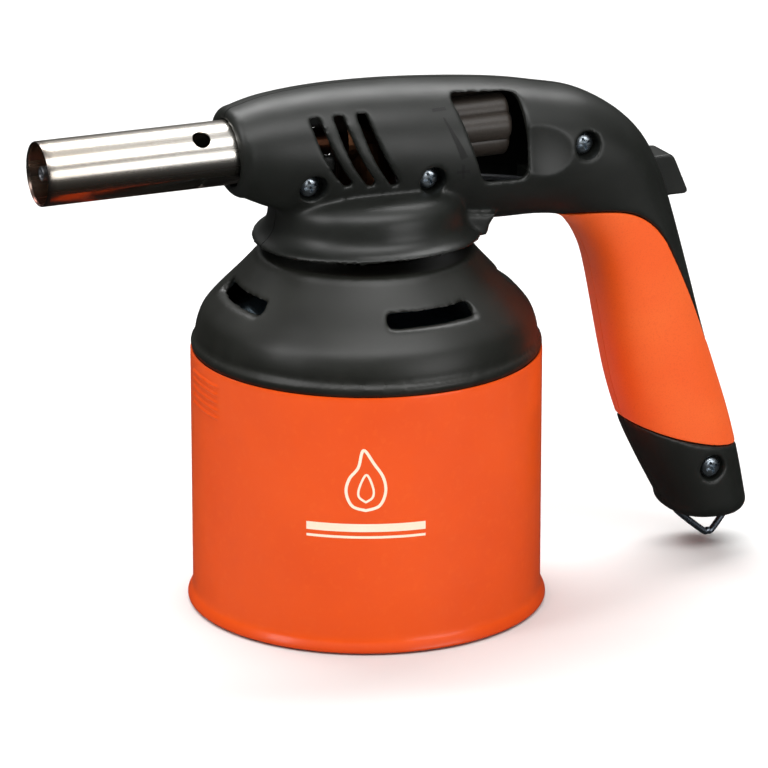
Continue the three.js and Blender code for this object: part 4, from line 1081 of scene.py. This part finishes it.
def make_button():
    """Push cap whose outer face leans like the handle's back, with a flange that keeps it in."""
    front, side = BUTTON_FLANGE_X, BUTTON_WIDTH / 2
    low, high = BUTTON_Z - BUTTON_HEIGHT / 2, BUTTON_Z + BUTTON_HEIGHT / 2
    face = rounded([(front + 1, low), (BUTTON_REACH, low), (BUTTON_REACH - BUTTON_LEAN, high),
                    (front + 1, high)], 1.6)
    cap = slab("button_cap", face, -side, side)
    flange = block("button_flange", front, front + 2, -side - 1, side + 1, low - 1, high - 2)
    soften(join(cap, flange), 0.24, 5)
    place(shade(cap, 60), "igniter", "black_plastic", BLACK, "igniter_button")


def make_spring():
    """The button's return spring, between the piezo unit and the button's flange."""
    start = PIEZO_BACK + SPRING_WIRE_RADIUS + GAP
    end = BUTTON_FLANGE_X - SPRING_WIRE_RADIUS - GAP
    count = SPRING_TURNS * 16
    points = []
    for i in range(count + 1):
        angle = 2 * math.pi * SPRING_TURNS * i / count
        points.append((start + (end - start) * i / count, SPRING_RADIUS * math.cos(angle),
                       BUTTON_Z + SPRING_RADIUS * math.sin(angle)))
    spring = tube("return_spring", points, SPRING_WIRE_RADIUS, sides=12, steps=4 * count)
    place(shade(spring, 50), "head", "steel", WIRE_STEEL, "piezo_spring")
    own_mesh(spring)


def make_loop():
    """Wire bent to a V, with both ends turned in to swing in the handle."""
    front, rear, top, low = LOOP_FRONT, LOOP_REAR, LOOP_Z, LOOP_Z - LOOP_DROP
    bends = [(front + LOOP_HOOK, top), (front + 1, top), (front + 0.2, top - 0.8), (front + 0.6, top - 3),
             (103.2, low + 0.3), (104.8, low), (106.4, low + 0.3),
             (rear - 0.4, top - 3), (rear - 0.2, top - 0.8), (rear - 1, top), (rear - LOOP_HOOK, top)]
    wire = tube("loop_wire", [(x, 0, z) for x, z in bends], LOOP_WIRE_RADIUS)
    place(shade(wire, 50), "loop", "steel", WIRE_STEEL, "hang_loop")


# ---- Burner ----

def make_burner():
    """Thin tube with a rolled mouth and four air holes."""
    bore = BURNER_RADIUS - BURNER_WALL
    front, back = BURNER_FRONT, BURNER_BACK
    profile = [(bore, front + 0.9), (bore + 0.1, front + 0.25), (bore + 0.3, front),
               (BURNER_RADIUS - 0.12, front + 0.12), (BURNER_RADIUS, front + 0.5)]
    profile += [(BURNER_RADIUS, front + 1.2 + 0.5 * i) for i in range(3)]
    profile += [(BURNER_RADIUS, back), (bore, back)]
    burner = turned("tube_burner", "x", profile, segments=192, z=AXIS_Z)
    for i in range(2):
        hole = rod(f"air_hole_{i}", "z", AIR_HOLE_RADIUS, -BURNER_RADIUS - 2, BURNER_RADIUS + 2, segments=64)
        turn = Matrix.Rotation(math.pi / 4 + i * math.pi / 2, 4, "X")
        hole.data.transform(Matrix.Translation(Vector((AIR_HOLE_X, 0, AXIS_Z)) * MM) @ turn)
        cut(burner, hole)
    place(shade(burner, 30), "head", "stainless", STAINLESS, "burner_tube")


def make_pilot():
    """The gas tube's rolled end, seen in the burner's mouth."""
    front = BURNER_FRONT + 1
    profile = [(PILOT_BORE, front + 0.5), (PILOT_BORE + 0.1, front + 0.1), (PILOT_BORE + 0.35, front),
               (PILOT_RADIUS - 0.05, front + 0.15), (PILOT_RADIUS, front + 0.5),
               (PILOT_RADIUS, PILOT_BACK), (PILOT_BORE, PILOT_BACK)]
    pilot = turned("tube_pilot", "x", profile, segments=64, z=AXIS_Z)
    place(shade(pilot, 30), "head", "steel", STEEL, "pilot_tube")


def make_electrode():
    """Spark wire that leaves its insulator and hooks towards the pilot tube."""
    tip = BURNER_FRONT + 1.6
    y, z = INSULATOR_Y, AXIS_Z + INSULATOR_RISE
    points = [(INSULATOR_BACK + 0.6, y, z), (-60, y, z), (BURNER_FRONT + 8, y, z), (tip + 1, y, z + 0.2),
              (tip, y + 1, z + 1), (tip, -3, AXIS_Z + 2.4)]
    wire = tube("electrode_wire", points, ELECTRODE_RADIUS, sides=16, steps=120)
    place(shade(wire, 50), "head", "steel", STEEL, "electrode")


# ---- The scene ----

def make_stage():
    """A pale floor that doesn't show in glossy surfaces, so black plastic stays dark below."""
    corners = [(x * FLOOR_REACH, y * FLOOR_REACH, 0) for x, y in ((-1, -1), (1, -1), (1, 1), (-1, 1))]
    floor = new_object("floor", corners, [(0, 1, 2, 3)])
    s = Surface("pale_floor", srgb(234, 234, 233))
    feed(s.shader["Roughness"], 0.7)
    s.tint(srgb(229, 229, 227), s.ramp(s.noise(0.004, 3), [(0.4, 0.0), (0.7, 0.5)]))
    floor.data.materials.append(s.finish())
    floor.visible_glossy = False


def area_light(name, place, target, size, size_y, power):
    data = bpy.data.lights.new(name, "AREA")
    data.shape = "RECTANGLE"
    data.size = size
    data.size_y = size_y
    data.energy = power
    light = linked(name, data)
    light.location = place
    light.rotation_euler = (Vector(target) - Vector(place)).to_track_quat("-Z", "Y").to_euler()


def make_lights():
    """A studio that is bright overhead and dim at the horizon, with soft boxes above and beside."""
    world = bpy.data.worlds.new("studio")
    world.use_nodes = True
    nodes, links = world.node_tree.nodes, world.node_tree.links
    background = nodes["Background"]
    split = nodes.new("ShaderNodeSeparateXYZ")
    links.new(nodes.new("ShaderNodeTexCoord").outputs["Generated"], split.inputs["Vector"])
    ramp = nodes.new("ShaderNodeValToRGB")
    for element, position, level in zip(ramp.color_ramp.elements, (0.2, 0.8), (0.03, 0.5)):
        element.position = position
        element.color = (level, level, level, 1)
    links.new(split.outputs["Z"], ramp.inputs["Fac"])
    links.new(ramp.outputs["Color"], background.inputs["Color"])
    bpy.context.scene.world = world
    middle = (0.01, 0, 0.09)
    area_light("overhead", (0.15, 0.5, 1.1), middle, 1.5, 0.4, 16)
    area_light("front", (-0.1, -0.75, 1.2), middle, 1.7, 0.5, 12)
    area_light("left", (-1.15, -0.15, 0.85), middle, 0.35, 0.7, 5)
    area_light("low", (0.5, -1.25, 0.3), middle, 0.8, 0.5, 4)
    bpy.context.scene.view_settings.view_transform = "Standard"


def make_camera():
    """Looks from the left and a little above, with its own directions written out."""
    back = Vector((-0.3838, -0.8691, 0.3118))
    right = Vector((0.9148, -0.4040, 0.0))
    up = Vector((0.1260, 0.2852, 0.9501))
    data = bpy.data.cameras.new("camera")
    data.sensor_width = 36.0
    data.lens = 239.33
    data.clip_end = 50
    camera = linked("camera", data)
    camera.location = (back * CAMERA_DISTANCE + right * 4.77 + up * 56.95) * MM
    camera.rotation_euler = back.to_track_quat("Z", "Y").to_euler()
    bpy.context.scene.camera = camera


make_camera()
make_lights()
make_stage()

make_cup()
make_dome()

body = blend_neck(soften(make_body(), 0.5, 5))
grip = make_grip()
for side, sign in (("left", -1), ("right", 1)):
    place(half(body, f"housing_{side}", sign), "head", "black_plastic", BLACK, f"{side}_shell")
    place(half(grip, f"grip_{side}", sign), "head", "soft_grip", GRIP_RUBBER, f"{side}_grip")
remove(body, grip)
for name, spec in SCREWS.items():
    make_screw(name, spec)
make_marks()
make_print()
make_knob()
make_button()
make_loop()
make_burner()
make_pilot()
make_electrode()
make_spring()
make_seam_lip()

refinish(CAN_STEEL, "cartridge")
refinish(make_valve_brass(), "neck_bush", "valve_body")
refinish(BRASS_WITH_PAINTED_SHADE, "gland_nut", "jet", "mixing_tube", "flame_holder")
refinish(RUBBER, "cartridge_seal", "gland_ring")
refinish(STEEL, "piercing_needle", "valve_spindle", "knob_clip", "piezo_plunger")
refinish(CERAMIC, "ceramic_insulator")
refinish(LEAD_SLEEVE, "ignition_lead")
refinish(BLACK, "piezo_body")
